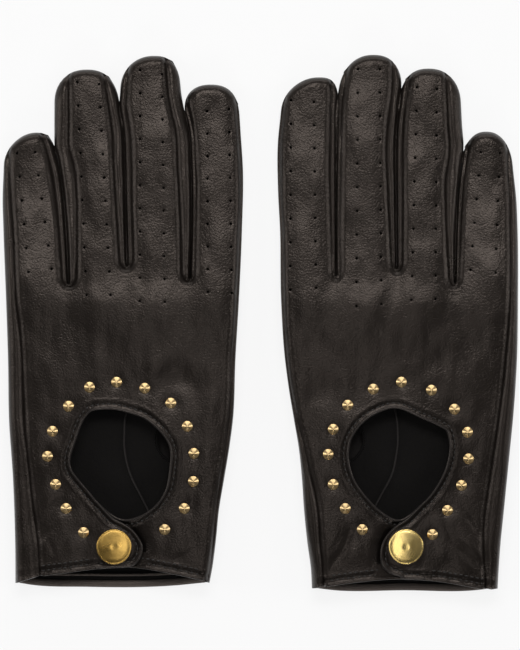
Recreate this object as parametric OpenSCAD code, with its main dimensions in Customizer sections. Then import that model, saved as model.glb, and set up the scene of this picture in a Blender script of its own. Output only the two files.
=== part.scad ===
// Pair of leather driving gloves, laid side by side with the backs up.
// Each glove is drawn in its own frame: x towards the index finger, y from the wrist hem to the fingertips.

/* [Leather] */
// Thickness of the glove leather
leather = 0.8; // [0.6:0.1:1]
// Gap between two pieces that are sewn edge to edge
seam_gap = 0.2; // [0.1:0.05:0.3]
// Thickness of the thinner leather of facings and hems
facing = 0.6; // [0.4:0.1:0.8]
// Gap between two pieces that lie flat on each other
ply_gap = 0.05; // [0.03:0.01:0.1]

/* [Pair] */
// Distance between the middles of the two wrists
pair_pitch = 116.4; // [112:0.2:140]

/* [Hand] */
// Length from the palm hem to the knuckle line
hand_length = 119; // [112:1:128]
// Width of the wrist at the hem
wrist_width = 78; // [74:1:86]
// Shift of the knuckles towards the index finger
hand_skew = 3.2; // [0:0.2:5]
// Height of the hand as it lies, from palm to back
hand_height = 9.2; // [8.6:0.2:11]
// How much lower the back of the hand is at its sides
side_drop = 1; // [0.4:0.2:1.6]
// Length of the wrist that slopes down from the raised palm
wrist_ramp = 20; // [14:1:26]
// Length of the wrist that lies flat at the hem
wrist_flat = 5; // [3:1:10]
// How far the web between the middle fingers stands past the knuckle line
web_crest = 9.5; // [7:0.5:12]
// How far the webs fall back towards the sides of the hand
web_arch = 19; // [14:1:22]

/* [Fingers] */
// Length past the knuckle line: little, ring, middle and index finger
finger_length = [64.2, 89.4, 94.8, 83.4]; // [50:0.2:110]
// Width of each finger tube
finger_width = [24, 22.8, 24.2, 22]; // [20:0.2:26]
// Lean of each finger towards the little finger, in degrees
finger_lean = [2.2, 1.6, 1.2, 1.2]; // [0:0.1:3]
// How much narrower each fingertip is than its finger
tip_narrowing = [8, 6, 6.5, 5.5]; // [3:0.5:9]
// Gap between neighbouring fingers
finger_gap = 0.5; // [0.4:0.1:1]
// Height of a fingertip as it lies
tip_height = 7.6; // [7:0.2:9]

/* [Seams] */
// Width of the finger side strips as seen from above
fourchette_show = 3.2; // [2.4:0.2:4]
// Inset of the back seam along the little finger side
little_seam = 4.8; // [3.6:0.2:6]
// Inset of the back seam along the index side
index_seam = 1.8; // [1.4:0.2:3]
// Length of back leather that folds over each fingertip
tip_wrap = 6; // [4:0.5:8]
// Height of the seam between palm and finger side strips, above the underside
palm_seam_height = 2.6; // [2.2:0.2:3.4]
// Distance of the back hem from the palm hem at the sides
hem_setback = 4.6; // [3:0.2:7]
// Rise of the back hem at its middle
hem_arch = 5.2; // [3:0.2:7]
// Width of the turned hems at the wrist
hem_width = 7; // [5:0.5:9]

/* [Back opening] */
// Distance of the opening's lower edge from the palm hem
opening_start = 28.6; // [27:0.2:31]
// Width of the rolled binding round the opening
binding_width = 1.6; // [1.2:0.1:2.2]
// Height of the binding above the leather on each side
binding_roll = 0.4; // [0.2:0.1:0.6]

/* [Cone studs] */
// Number of studs round the opening
stud_count = 15; // [9:1:17]
// Diameter of a stud
stud_diameter = 4.4; // [3.4:0.2:5]
// Height of a stud's cone
stud_height = 2.6; // [2:0.2:3.2]
// Half width of the ring of studs
stud_ring_x = 29.2; // [28:0.2:31]
// Half length of the ring of studs
stud_ring_y = 31; // [30:0.2:32]
// Angle from one stud to the next
stud_step = 21.5; // [20:0.1:22]
// How far the top of the ring leans towards the little finger
stud_lean = 0.9; // [0:0.1:1]
// Diameter of the shank through the leather
shank_diameter = 1.6; // [1.2:0.1:2]
// Diameter of the washer behind the leather
washer_diameter = 4; // [3:0.2:4.6]

/* [Wrist tab] */
// Distance of the snap from the palm hem
snap_y = 17.6; // [17:0.2:19]
// Distance from the fold of the tab to the snap
tab_reach = 8.2; // [7.6:0.2:9]
// Radius of the tab's round end
tab_radius = 10.3; // [9.6:0.1:10.8]
// Gap round the tab
tab_gap = 0.5; // [0.4:0.1:0.8]

/* [Snap] */
// Diameter of the domed cap
cap_diameter = 14; // [11:0.2:15]
// Height of the cap
cap_height = 1.7; // [1.2:0.1:2.2]
// Outer diameter of the socket
socket_diameter = 9.6; // [8.6:0.2:10.6]
// Bore of the socket
socket_bore = 6; // [5.6:0.1:6.4]
// Height of the socket
socket_height = 1.9; // [1.8:0.1:2.4]
// Diameter of the stud's head
head_diameter = 4.4; // [4:0.1:4.6]
// Sheet thickness of the snap's plates
snap_sheet = 0.35; // [0.3:0.05:0.45]
// Diameter of the cap's rivet
rivet_diameter = 3.6; // [3:0.1:4]
// Clearance round the rivets
rivet_clearance = 0.15; // [0.1:0.05:0.2]

/* [Thumb] */
// Height of the flattened thumb under the palm
thumb_height = 4; // [3.6:0.2:5]
// Clearance between the thumb and the palm above it
thumb_clearance = 0.4; // [0.3:0.1:0.6]
// Length from the middle of the thumb's mouth to its tip
thumb_length = 53; // [48:1:54]
// Width of the thumb at its mouth
thumb_width = 25; // [24:0.5:27]
// How much narrower the thumb's tip is
thumb_narrowing = 11; // [8:0.5:13]
// Angle by which the thumb points towards the little finger
thumb_tuck = 22; // [15:1:26]
// Place of the thumb's mouth across the palm
thumb_x = 26; // [24:0.5:28]
// Place of the thumb's mouth along the palm
thumb_y = 60; // [57:0.5:63]
// Outer diameter of the sewn welt round the thumb's mouth
welt_diameter = 20; // [18:0.5:21]

/* [Hidden] */
PIECES = [
    "back_panel", "palm_panel", "thumb_gusset",
    "fourchette_little_ring", "fourchette_ring_middle", "fourchette_middle_index",
    "thumb", "thumb_welt", "keyhole_binding", "back_hem", "palm_hem",
    "wrist_tab", "tab_facing", "underlap",
    "snap_cap", "snap_socket", "snap_spring", "snap_stud", "snap_post",
    "cone_studs", "stud_washers",
];
SIDES = ["left", "right"];

LITTLE = 0;
RING = 1;
MIDDLE = 2;
INDEX = 3;
FINGERS = [LITTLE, RING, MIDDLE, INDEX];

leather_colour = "#332e2b";
edge_colour = "#45403c";
inside_colour = "#1d1b1a";
brass_colour = "#c9a23c";
stud_colour = "#d6b876";

outer_sides = 12;
inner_sides = 8;
hole_sides = 6;
stud_sides = 24;
outline_sides = 32;
round_sides = 64;
far = 300;

palm_rise = thumb_height + thumb_clearance;
hand_top = palm_rise + hand_height;
root_drop = 0.4;
web_drop = 1.2;
finger_root_height = hand_height - root_drop;
web_height = hand_height - web_drop;
knuckle_width = finger_width[0] + finger_width[1] + finger_width[2] + finger_width[3] + 3 * finger_gap;

// Widths of the fingers before finger i, with their gaps
function before(i) = i == 0 ? 0 : before(i - 1) + finger_width[i - 1] + finger_gap;
function root_x(i) = hand_skew - knuckle_width / 2 + before(i) + finger_width[i] / 2;

// A point of finger i: s along it from the knuckle line, across it from its axis
function finger_point(i, s, across) = [
    root_x(i) - s * sin(finger_lean[i]) + across * cos(finger_lean[i]),
    hand_length + s * cos(finger_lean[i]) + across * sin(finger_lean[i]),
];

// How far finger i reaches from the palm hem
tip_radius = tip_height / 2;
function tip_spread(i) = (finger_width[i] - tip_narrowing[i]) / 2 - tip_radius;
function finger_reach(i) = hand_length + finger_length[i] * cos(finger_lean[i])
    + tip_spread(i) * sin(finger_lean[i]);
glove_length = max([for (i = FINGERS) finger_reach(i)]);

// Stations along a finger: distance, width, height and height of the underside
tip_taper = 13;
finger_start = -12;
root_lift = 0.1;
root_taper = 1;
outer_tip_steps = 3;
inner_tip_steps = 1;
function finger_stations(i, tip_steps) = concat(
    [
        [finger_start, finger_width[i] - root_taper, finger_root_height - root_taper, palm_rise + root_lift],
        [0, finger_width[i], finger_root_height, palm_rise + root_lift],
    ],
    [for (k = [0:tip_steps]) let (turn = 90 * k / tip_steps) [
        finger_length[i] - tip_taper + (tip_taper - tip_radius) * sin(turn),
        finger_width[i] - tip_narrowing[i] * (1 - cos(turn)), tip_height, 0,
    ]]
);

// Width, middle and underside of the hand at a distance y from the hem
function hand_width(y) = wrist_width + (knuckle_width - wrist_width) * max(0, y) / hand_length;
function hand_middle(y) = hand_skew * max(0, y) / hand_length;
function hand_floor(y) = palm_rise * min(1, max(0, (y - wrist_flat) / wrist_ramp));
flat_share = 0.36;
cuff_overrun = 10;
knuckle_drop = 22;

// Front edge of the webs, at a share from -1 to 1 of the knuckle width
function web_y(share) = hand_length + web_crest - web_arch * share * share;
function web_x(share) = hand_skew + share * knuckle_width / 2;
web_shares = [-1, -0.5, 0, 0.5, 1];

// The back opening is the hull of four round corners: x, y, radius
opening_corners = [
    [-3.5, opening_start + 33.9, 10.5],
    [7.5, opening_start + 26.4, 15.2],
    [-8.5, opening_start + 24.4, 9.2],
    [5, opening_start + 12.9, 12.9],
];
opening_middle = [2.6, opening_start + 23];
function stud_angle(k) = (k - (stud_count - 1) / 2) * stud_step;
function stud_place(k) = opening_middle + [
    stud_ring_x * sin(stud_angle(k)) - stud_lean * cos(stud_angle(k)),
    stud_ring_y * cos(stud_angle(k)),
];

tab_fold_x = -tab_reach;
underlap_low = 7;
underlap_narrow = 10;
underlap_ramp = tab_radius + tab_gap;
underlap_rise = 7;
underlap_length = underlap_ramp + underlap_rise + 6;
post_diameter = 2.4;
washer_sheet = 0.4;
spring_wire = 0.5;
spring_seat = 0.35;
spring_level = 0.7;
spring_split = 50;

// Levels of the snap's plates, from the top of the leather down
facing_bottom = hand_top - leather - ply_gap - facing;
socket_top = facing_bottom - ply_gap;
socket_bottom = socket_top - socket_height;
snap_clearance = 0.25;
snap_corner = 0.2;
snap_shoulder = 0.6;
underlap_top = socket_bottom - snap_clearance - snap_sheet - ply_gap;
underlap_bottom = underlap_top - leather;
head_height = socket_height + snap_clearance - snap_sheet - snap_shoulder;

thumb_bead = thumb_height / 2;
thumb_base = thumb_width / 2 - thumb_bead;

// Stations along the thumb: distance from the middle of its mouth, and how much narrower it is there
thumb_stations = [
    [-thumb_base, thumb_base], [-thumb_base * 0.6, thumb_base * 0.35], [0, 0], [thumb_length * 0.4, 1.5],
    [thumb_length * 0.8, thumb_narrowing * 0.45], [thumb_length - thumb_bead, thumb_narrowing],
];

// Steps of a rounded bead, as shares of its radius: radius and half height of each, outside and inside
outer_steps = [[0.42, 1], [0.8, 0.8], [1, 0.38]];
inner_steps = [[0.6, 1], [1, 0.55]];

// One bead of the leather form, flat on its top and underside
module bead(radius, inset) {
    size = radius - inset;
    for (step = inset > 0 ? inner_steps : outer_steps)
        cylinder(r = step[0] * size, h = 2 * step[1] * size, center = true,
            $fn = inset > 0 ? inner_sides : outer_sides);
}

// Two beads side by side, with their middles a given distance from the axis
module bead_pair(spread, radius, inset) {
    for (side = [-1, 1]) translate([side * spread, 0, 0]) bead(radius, inset);
}

module finger_station(station, inset) {
    radius = station[2] / 2;
    translate([0, station[0], station[3] + radius]) bead_pair(station[1] / 2 - radius, radius, inset);
}

// Solid form of one finger, inset from its outer face
module finger_form(i, inset) {
    translate([root_x(i), hand_length, 0]) rotate(finger_lean[i])
        hull() for (station = finger_stations(i, inset > 0 ? inner_tip_steps : outer_tip_steps))
            finger_station(station, inset);
}

module hand_station(y, inset) {
    crown = (hand_top - hand_floor(y)) / 2;
    side = crown - side_drop / 2;
    translate([hand_middle(y), y, hand_floor(y)]) {
        translate([0, 0, crown]) bead_pair(flat_share * hand_width(y), crown, inset);
        translate([0, 0, side]) bead_pair(hand_width(y) / 2 - side, side, inset);
    }
}

module web_station(inset) {
    radius = web_height / 2;
    reach = 1 - 2 * radius / knuckle_width;
    for (share = web_shares)
        translate([web_x(share * reach), web_y(share) - radius, palm_rise + 2 * root_lift + radius])
            bead(radius, inset);
}

// Solid form of the hand without fingers, inset from its outer face
module hand_form(inset) {
    hull() for (y = [-cuff_overrun, wrist_flat, wrist_flat + wrist_ramp]) hand_station(y, inset);
    hull() {
        for (y = [wrist_flat + wrist_ramp, hand_length - knuckle_drop]) hand_station(y, inset);
        web_station(inset);
    }
}

module glove_form(inset) {
    hand_form(inset);
    for (i = FINGERS) finger_form(i, inset);
}

// The whole leather shell, open at the wrist
module shell() {
    intersection() {
        difference() {
            glove_form(0);
            glove_form(leather);
        }
        translate([-far / 2, 0, -1]) cube(far);
    }
}

// Everything above a line that runs along the glove at a share of its height
module above(share, lift) {
    tip_y = hand_length + max(finger_length);
    line = [
        [-far, share * hand_top],
        [wrist_flat, share * hand_top],
        [wrist_flat + wrist_ramp, palm_rise + share * hand_height],
        [hand_length, palm_rise + share * hand_height],
        [hand_length + min(finger_length), share * finger_root_height],
        [tip_y + far, share * tip_height],
    ];
    translate([-far / 2, 0, lift]) rotate([90, 0, 90]) linear_extrude(far)
        polygon(concat(line, [[tip_y + far, far], [-far, far]]));
}

// Outline of one finger's back strip, which widens to fold over the tip
module finger_strip(i) {
    half = finger_width[i] / 2;
    beyond = half + finger_gap / 2;
    draw_in = 1;
    low = half - (i == LITTLE ? little_seam - draw_in : fourchette_show);
    high = half - (i == INDEX ? index_seam : fourchette_show);
    root = finger_start + root_taper;
    side_top = finger_length[i] - tip_wrap;
    fold = finger_length[i] - tip_wrap / 2;
    polygon([
        finger_point(i, root, -low), finger_point(i, root, high),
        finger_point(i, side_top - tip_wrap, high), finger_point(i, side_top, high - draw_in),
        finger_point(i, fold, beyond), finger_point(i, far, beyond),
        finger_point(i, far, -beyond), finger_point(i, fold, -beyond),
        finger_point(i, side_top, draw_in - low), finger_point(i, side_top - tip_wrap, -low),
    ]);
}

// Outline of the back of the hand, with its arched hem
hem_points = 9;
function hem_y(share) = hem_setback + hem_arch * (1 - share * share);
function hem_x(share) = share * wrist_width / 2 - abs(share) * (share < 0 ? -little_seam : index_seam);
function hem_point(k) = let (share = 2 * k / hem_points - 1) [hem_x(share), hem_y(share)];
module hand_outline() {
    web_setback = 1.4;
    web_share = 0.8;
    side_y = hand_length - 10;
    polygon(concat(
        [for (k = [0:hem_points]) hem_point(k)],
        [[hand_middle(side_y) + hand_width(side_y) / 2 - index_seam, side_y]],
        [for (k = [0:hem_points]) let (share = web_share * (1 - 2 * k / hem_points))
            [web_x(share), web_y(share) - web_setback]],
        [[hand_middle(side_y) - hand_width(side_y) / 2 + little_seam, side_y]]
    ));
}

// Outline of the back: hand and finger strips, with round webs
module back_outline() {
    web_round = 2.2;
    offset(r = -web_round, $fn = outline_sides) offset(delta = web_round) {
        hand_outline();
        for (i = FINGERS) finger_strip(i);
    }
}

module column() {
    translate([0, 0, -1]) linear_extrude(far) children();
}

// Ground that the fourchette between finger i and the next covers, seen from above
module fourchette_outline(i) {
    top = finger_length[i] - tip_wrap / 2;
    next_top = finger_length[i + 1] - tip_wrap / 2;
    web_tuck = 6;
    root = finger_start + web_tuck;
    polygon([
        finger_point(i, root, 0), finger_point(i, top, 0),
        finger_point(i, top, (finger_width[i] + finger_gap) / 2),
        finger_point(i + 1, next_top, -(finger_width[i + 1] + finger_gap) / 2),
        finger_point(i + 1, next_top, 0), finger_point(i + 1, root, 0),
    ]);
}

// What the back and its seam take from the shell
module back_ground(gap) {
    intersection() {
        column() offset(delta = gap) back_outline();
        above(0.5, 0);
    }
}

module fourchette_ground(i, gap) {
    intersection() {
        column() offset(delta = gap) fourchette_outline(i);
        above(0, palm_seam_height - gap);
    }
}

module opening_outline() {
    hull() for (corner = opening_corners)
        translate([corner[0], corner[1]]) circle(corner[2], $fn = outline_sides);
}

// Outline of the tab, from its fold to its round end
module tab_outline() {
    flare = 1.6;
    lead = 4;
    lower = hem_y(2 * tab_fold_x / wrist_width);
    upper = snap_y + tab_radius + flare;
    intersection() {
        hull() {
            translate([0, snap_y]) circle(tab_radius, $fn = round_sides);
            translate([tab_fold_x - lead, lower]) square([lead / 2, upper - lower]);
        }
        translate([tab_fold_x, 0]) square(far);
    }
}

// Room that the tab and the slit under it take from the back
module tab_room() {
    offset(delta = tab_gap) tab_outline();
    translate([tab_fold_x - tab_gap / 2, 0]) square([tab_reach + tab_radius / 2, snap_y]);
}

module stud_places() {
    for (k = [0:stud_count - 1]) translate(concat(stud_place(k), [0])) children();
}

// Back of the hand and of the four fingers, one skin with the opening and the stud holes
module back_panel() color(leather_colour) difference() {
    intersection() {
        shell();
        back_ground(0);
    }
    translate([0, 0, palm_rise + hand_height / 2]) {
        column() offset(delta = binding_width + seam_gap) opening_outline();
        column() tab_room();
        stud_places() cylinder(d = shank_diameter + 3 * rivet_clearance, h = far, $fn = hole_sides);
    }
}

// The mouth of the wrist, open upwards in front of the back's hem
module mouth_ground() {
    intersection() {
        column() polygon(concat(
            [[-far, -far], [-far, hem_setback]], [for (k = [0:hem_points]) hem_point(k)],
            [[far, hem_setback], [far, -far]]
        ));
        above(0.5, 0);
    }
}

// What is left of the shell for the palm once the back and the fourchettes are taken off
module palm_skin() {
    difference() {
        shell();
        mouth_ground();
        back_ground(seam_gap);
        for (i = [LITTLE:MIDDLE]) fourchette_ground(i, seam_gap);
    }
}

// Seam of the thumb's own part of the palm, from the wrist round the mouth to the index side,
// as distances from the middle of the mouth
gusset_seam = [
    [-2, -61], [-13, -27], [-19, -14], [-21.5, 0], [-20.5, 13], [-14, 29], [-3, 40], [10, 45],
];
module gusset_outline() {
    translate([thumb_x, thumb_y]) polygon(concat(
        gusset_seam, [[far, gusset_seam[len(gusset_seam) - 1][1] + 1], [far, gusset_seam[0][1]]]
    ));
}

module palm_panel() color(leather_colour) difference() {
    palm_skin();
    column() offset(delta = seam_gap) gusset_outline();
}

module thumb_gusset() color(leather_colour) difference() {
    intersection() {
        palm_skin();
        column() gusset_outline();
    }
    translate([thumb_x, thumb_y, 0])
        cylinder(d = welt_diameter + 2 * thumb_clearance, h = hand_top / 2, $fn = outline_sides);
}

// Side strip that runs down one finger, round the web and up the next finger
module fourchette(i) color(leather_colour) difference() {
    intersection() {
        shell();
        fourchette_ground(i, 0);
    }
    back_ground(seam_gap);
}

module thumb_form(inset) {
    hull() for (station = thumb_stations) translate([0, station[0], thumb_bead])
        bead_pair((thumb_width - station[1]) / 2 - thumb_bead, thumb_bead, inset);
}

module at_thumb() {
    translate([thumb_x, thumb_y, 0]) rotate(thumb_tuck) children();
}

// Flattened thumb tube, folded under the palm, with its mouth in its upper wall
module thumb() color(leather_colour) at_thumb() difference() {
    thumb_form(0);
    thumb_form(leather);
    translate([0, 0, thumb_bead])
        cylinder(d = welt_diameter - 2 * leather, h = thumb_height, $fn = outline_sides);
}

// Sewn ring that joins the thumb's mouth to its hole in the gusset
module thumb_welt() color(edge_colour) at_thumb() translate([0, 0, thumb_height + ply_gap]) difference() {
    cylinder(d = welt_diameter, h = thumb_clearance + leather, $fn = round_sides);
    translate([0, 0, -1])
        cylinder(d = welt_diameter - 2 * leather, h = leather + thumb_clearance + 2, $fn = round_sides);
}

// Rolled leather edge round the back opening, broken where the tab crosses it
module keyhole_binding() color(edge_colour) translate([0, 0, hand_top - leather - binding_roll]) {
    height = leather + 2 * binding_roll;
    for (step = [[0, binding_roll], [binding_roll, 0]])
        translate([0, 0, step[1]]) linear_extrude(height - 2 * step[1]) difference() {
            offset(delta = binding_width - step[0]) opening_outline();
            offset(delta = step[0]) opening_outline();
            tab_room();
        }
}

// Layer of thin leather just inside the shell of the hand, for the turned hems
module hem_layer() {
    start = leather + ply_gap;
    difference() {
        glove_form(start);
        glove_form(start + facing);
    }
}

// Turned hem inside the wrist edge of the back, on both sides of the tab
module back_hem() color(inside_colour) difference() {
    intersection() {
        hem_layer();
        above(0.5, 0);
        column() intersection() {
            hand_outline();
            translate([0, hem_width]) difference() {
                translate([-far / 2, -hem_width]) square([far, 2 * hem_width]);
                hand_outline();
            }
        }
    }
    column() tab_room();
    translate([tab_fold_x, 0, 0]) cube([tab_reach + underlap_length + ply_gap, far, far]);
}

// Turned hem inside the wrist edge of the palm
module palm_hem() color(inside_colour) difference() {
    intersection() {
        hem_layer();
        translate([-far / 2, 0, 0]) cube([far, hem_width, far]);
    }
    above(0.5, -seam_gap);
}

// Strap end of the back, cut at its fold, that closes over the underlap
module wrist_tab() color(leather_colour) translate([0, 0, hand_top - leather]) difference() {
    linear_extrude(leather) intersection() {
        tab_outline();
        translate([tab_fold_x + tab_gap / 4, 0]) square(far);
    }
    translate([0, snap_y, -1])
        cylinder(d = rivet_diameter + 2 * rivet_clearance, h = leather + 2, $fn = outline_sides);
}

// Thin leather under the tab, which takes the pull of the snap
module tab_facing() color(inside_colour) translate([0, 0, facing_bottom]) difference() {
    linear_extrude(facing) intersection() {
        offset(delta = -facing) tab_outline();
        translate([tab_fold_x + facing, 0]) square(far);
    }
    translate([0, snap_y, -1])
        cylinder(d = rivet_diameter + 2 * rivet_clearance, h = facing + 2, $fn = outline_sides);
}

// Section of the underlap across the wrist: low under the tab, then up to the back that it is sewn to
function underlap_line(low, high) = [
    [-underlap_low, low], [underlap_ramp, low],
    [underlap_ramp + underlap_rise, high], [underlap_length, high],
];
module underlap_section() {
    sewn_top = hand_top - leather - ply_gap;
    lower = underlap_line(underlap_bottom, sewn_top - leather);
    polygon(concat(
        underlap_line(underlap_top, sewn_top),
        [for (k = [len(lower) - 1:-1:0]) lower[k]]
    ));
}

// Leather tongue sewn under the index side of the back, which reaches under the tab and holds the snap's stud
module underlap() color(leather_colour) difference() {
    intersection() {
        translate([0, far / 2, 0]) rotate([90, 0, 0]) linear_extrude(far) underlap_section();
        linear_extrude(far) {
            translate([0, snap_y]) circle(underlap_low, $fn = round_sides);
            translate([0, snap_y - underlap_low]) square([underlap_length, underlap_narrow]);
        }
    }
    translate([0, snap_y, 0])
        cylinder(d = post_diameter + 2 * rivet_clearance, h = hand_top, $fn = outline_sides);
}

module at_snap(level) {
    translate([0, snap_y, level]) children();
}

// Domed brass cap with a centre dimple, and the rivet that holds the tab, its facing and the socket together
module snap_cap() color(brass_colour) at_snap(hand_top + ply_gap) {
    radius = cap_diameter / 2;
    rivet = rivet_diameter / 2;
    dimple = 1.1;
    rim = 0.5;
    edge = 0.1;
    flare = 0.25;
    dome = [[0.45, 0.98], [0.75, 0.86], [0.92, 0.6]];
    rivet_end = socket_top - snap_sheet - ply_gap - hand_top - ply_gap;
    rotate_extrude($fn = round_sides) polygon(concat(
        [[0, cap_height - dimple / 4], [dimple / 2, cap_height - dimple / 5], [dimple, cap_height]],
        [for (share = dome) [radius * share[0], cap_height * share[1]]],
        [[radius - edge, rim], [radius, rim / 2], [radius - edge, 0]],
        [[rivet, 0], [rivet, rivet_end], [rivet + 2 * flare, rivet_end]],
        [[rivet + flare, rivet_end - flare], [0, rivet_end - flare]]
    ));
}

// Brass socket under the tab, open downwards, with a groove for its spring
module snap_socket() color(brass_colour) at_snap(socket_bottom) {
    outer = socket_diameter / 2;
    bore = socket_bore / 2;
    hole = rivet_diameter / 2 + rivet_clearance;
    groove = bore + spring_seat;
    rotate_extrude($fn = round_sides) polygon([
        [bore, 0], [outer - snap_corner, 0], [outer, snap_corner], [outer, socket_height - snap_shoulder],
        [outer - 2 * snap_corner, socket_height], [hole, socket_height], [hole, socket_height - snap_sheet],
        [bore, socket_height - snap_sheet], [bore, spring_level + spring_seat],
        [groove, spring_level + spring_seat], [groove, spring_level - spring_seat],
        [bore, spring_level - spring_seat],
    ]);
}

// Split wire ring in the socket's groove
module snap_spring() color(brass_colour) at_snap(socket_bottom + spring_level)
    rotate([0, 0, spring_split / 2]) rotate_extrude(angle = 360 - spring_split, $fn = round_sides)
        translate([socket_bore / 2 + spring_seat - spring_wire / 2 - ply_gap, 0])
            circle(d = spring_wire, $fn = outline_sides / 2);

// Brass stud on the underlap, with a rounded head that the socket closes over
module snap_stud() color(brass_colour) at_snap(underlap_top + ply_gap) {
    head = head_diameter / 2;
    bore = post_diameter / 2 + rivet_clearance;
    base = socket_diameter / 2 - snap_corner;
    neck = head - 1.5 * snap_corner;
    rotate_extrude($fn = round_sides) polygon([
        [bore, 0], [base, 0], [base, snap_sheet], [neck, snap_sheet],
        [neck, snap_sheet + snap_corner], [head, snap_sheet + 2 * snap_corner],
        [head, snap_sheet + snap_shoulder], [neck, head_height - snap_corner / 2],
        [neck - snap_corner, head_height], [bore, head_height],
    ]);
}

// Eyelet under the underlap, with the tube that goes up through the stud
module snap_post() color(brass_colour) at_snap(underlap_bottom - ply_gap - snap_sheet) {
    tube = post_diameter / 2;
    hole = tube - snap_sheet;
    base = socket_diameter / 2 - 2 * snap_corner;
    top = snap_sheet + ply_gap + leather + ply_gap + head_height;
    rotate_extrude($fn = round_sides)
        polygon([[hole, 0], [base, 0], [base, snap_sheet], [tube, snap_sheet], [tube, top], [hole, top]]);
}

// Cone studs round the opening, each with its shank through the leather
module cone_studs() color(stud_colour) stud_places() translate([0, 0, hand_top + ply_gap]) {
    radius = stud_diameter / 2;
    rim = 0.5;
    blunt = 0.3;
    shank = shank_diameter / 2;
    shank_end = leather + 2 * ply_gap + washer_sheet;
    rotate_extrude($fn = stud_sides) polygon([
        [0, stud_height], [blunt, stud_height - blunt / 3], [radius, rim], [radius, 0],
        [shank, 0], [shank, -shank_end], [0, -shank_end],
    ]);
}

// Washers behind the leather, one on each stud's shank
module stud_washers() color(brass_colour)
    stud_places() translate([0, 0, hand_top - leather - ply_gap - washer_sheet]) difference() {
        cylinder(d = washer_diameter, h = washer_sheet, $fn = stud_sides);
        translate([0, 0, -1])
            cylinder(d = shank_diameter + rivet_clearance, h = washer_sheet + 2, $fn = stud_sides);
    }

// Puts a glove in its place in the pair: the right one mirrors the left
module in_place(side) {
    mirror([side == "right" ? 1 : 0, 0, 0])
        translate([-pair_pitch / 2, -glove_length / 2, 0]) children();
}

for (side = SIDES) {
    in_place(side) back_panel();
    in_place(side) palm_panel();
    in_place(side) thumb_gusset();
    in_place(side) fourchette(LITTLE);
    in_place(side) fourchette(RING);
    in_place(side) fourchette(MIDDLE);
    in_place(side) thumb();
    in_place(side) thumb_welt();
    in_place(side) keyhole_binding();
    in_place(side) back_hem();
    in_place(side) palm_hem();
    in_place(side) wrist_tab();
    in_place(side) tab_facing();
    in_place(side) underlap();
    in_place(side) snap_cap();
    in_place(side) snap_socket();
    in_place(side) snap_spring();
    in_place(side) snap_stud();
    in_place(side) snap_post();
    in_place(side) cone_studs();
    in_place(side) stud_washers();
}
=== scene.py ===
"""Looks of a pair of leather driving gloves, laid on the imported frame."""

import math

import bpy
import numpy as np
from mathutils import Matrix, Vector
from mathutils.geometry import delaunay_2d_cdt


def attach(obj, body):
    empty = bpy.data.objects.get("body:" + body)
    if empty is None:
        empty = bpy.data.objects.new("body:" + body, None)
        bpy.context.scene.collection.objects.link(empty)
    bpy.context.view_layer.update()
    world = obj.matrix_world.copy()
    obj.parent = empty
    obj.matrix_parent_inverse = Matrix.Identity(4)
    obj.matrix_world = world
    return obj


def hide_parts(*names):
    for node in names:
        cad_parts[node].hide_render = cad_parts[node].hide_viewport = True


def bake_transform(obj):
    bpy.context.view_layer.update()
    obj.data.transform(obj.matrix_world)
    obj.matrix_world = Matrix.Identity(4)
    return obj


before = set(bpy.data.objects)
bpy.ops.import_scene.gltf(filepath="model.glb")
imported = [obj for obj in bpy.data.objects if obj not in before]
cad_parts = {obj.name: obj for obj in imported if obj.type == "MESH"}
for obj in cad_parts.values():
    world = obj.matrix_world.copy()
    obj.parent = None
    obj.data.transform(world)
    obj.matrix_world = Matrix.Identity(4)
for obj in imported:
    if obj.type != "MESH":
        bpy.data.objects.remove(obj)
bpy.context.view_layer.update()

# Sizes in mm. Each glove has its own frame: u towards the index finger, v from the wrist to the fingertips.
MM = 0.001
LEATHER = 0.8
PITCH, MID_V = 116.4, 106.94

# Hand and fingers
HAND_TOP, PALM_RISE = 13.6, 4.4
WRIST_FLAT, WRIST_RAMP = 5.0, 20.0
KNUCKLES, TIP_TOP, TIP_TAPER = 116.0, 7.6, 13.0
TIP_ROUND, TIP_POWER = 13.5, 2.35
GAP, GAP_LIFT, GAP_BEND, STRIP_RUN = -0.2, 1.6, 4.2, 45.0
RIM, GAP_RIM, OPENS_BELOW, OPENS_OVER = 3.6, 1.6, 16.0, 10.0
GUSSET_U, GUSSET_ROW, BELOW_WRIST = 26, 72, -40.0
LIP_RADIUS, LIP_FLAT, LIP_RISE = 0.42, 1.6, 0.4
THIN_LENGTH, THINNEST = 6.0, 0.04

# Thumb, folded under the palm
THUMB_MOUTH, THUMB_LENGTH, THUMB_TUCK = (26.0, 60.0), 53.0, 22.0
THUMB_HALF, THUMB_HEEL, THUMB_TOP, THUMB_ROLL = 12.5, 10.5, 4.0, 2.4
THUMB_NARROWS, HEEL_ROUND, THUMB_TIP = 5.2, 8.0, 9.0
WELT_RADIUS, WELT_CORD, WELT_LEVEL = 10.0, 0.6, 4.6

# Wrist: hems, tab and snap
BACK_HEM, PALM_HEM, HEM_LEATHER = 6.0, 5.4, 0.5
PALM_ROLL, PALM_ROLL_IN, PALM_ROLL_UP = 1.45, 1.4, 1.15
FOLD_U, FOLD_LENGTH, SNAP_V = -8.2, 2.2, 17.6
TAB_SIDE, MID_OPENING = (6, 45), 50
FACING, FACING_IN = 0.6, 0.9
UNDERLAP_LOW, UNDERLAP_TOP = 8.75, 12.1
UNDERLAP_HALF, UNDERLAP_END, SLOPE_START, SLOPE = 7.0, 23.8, 10.8, 7.0
CAP_RADIUS, CAP_RISE = 7.0, 1.7

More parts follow.
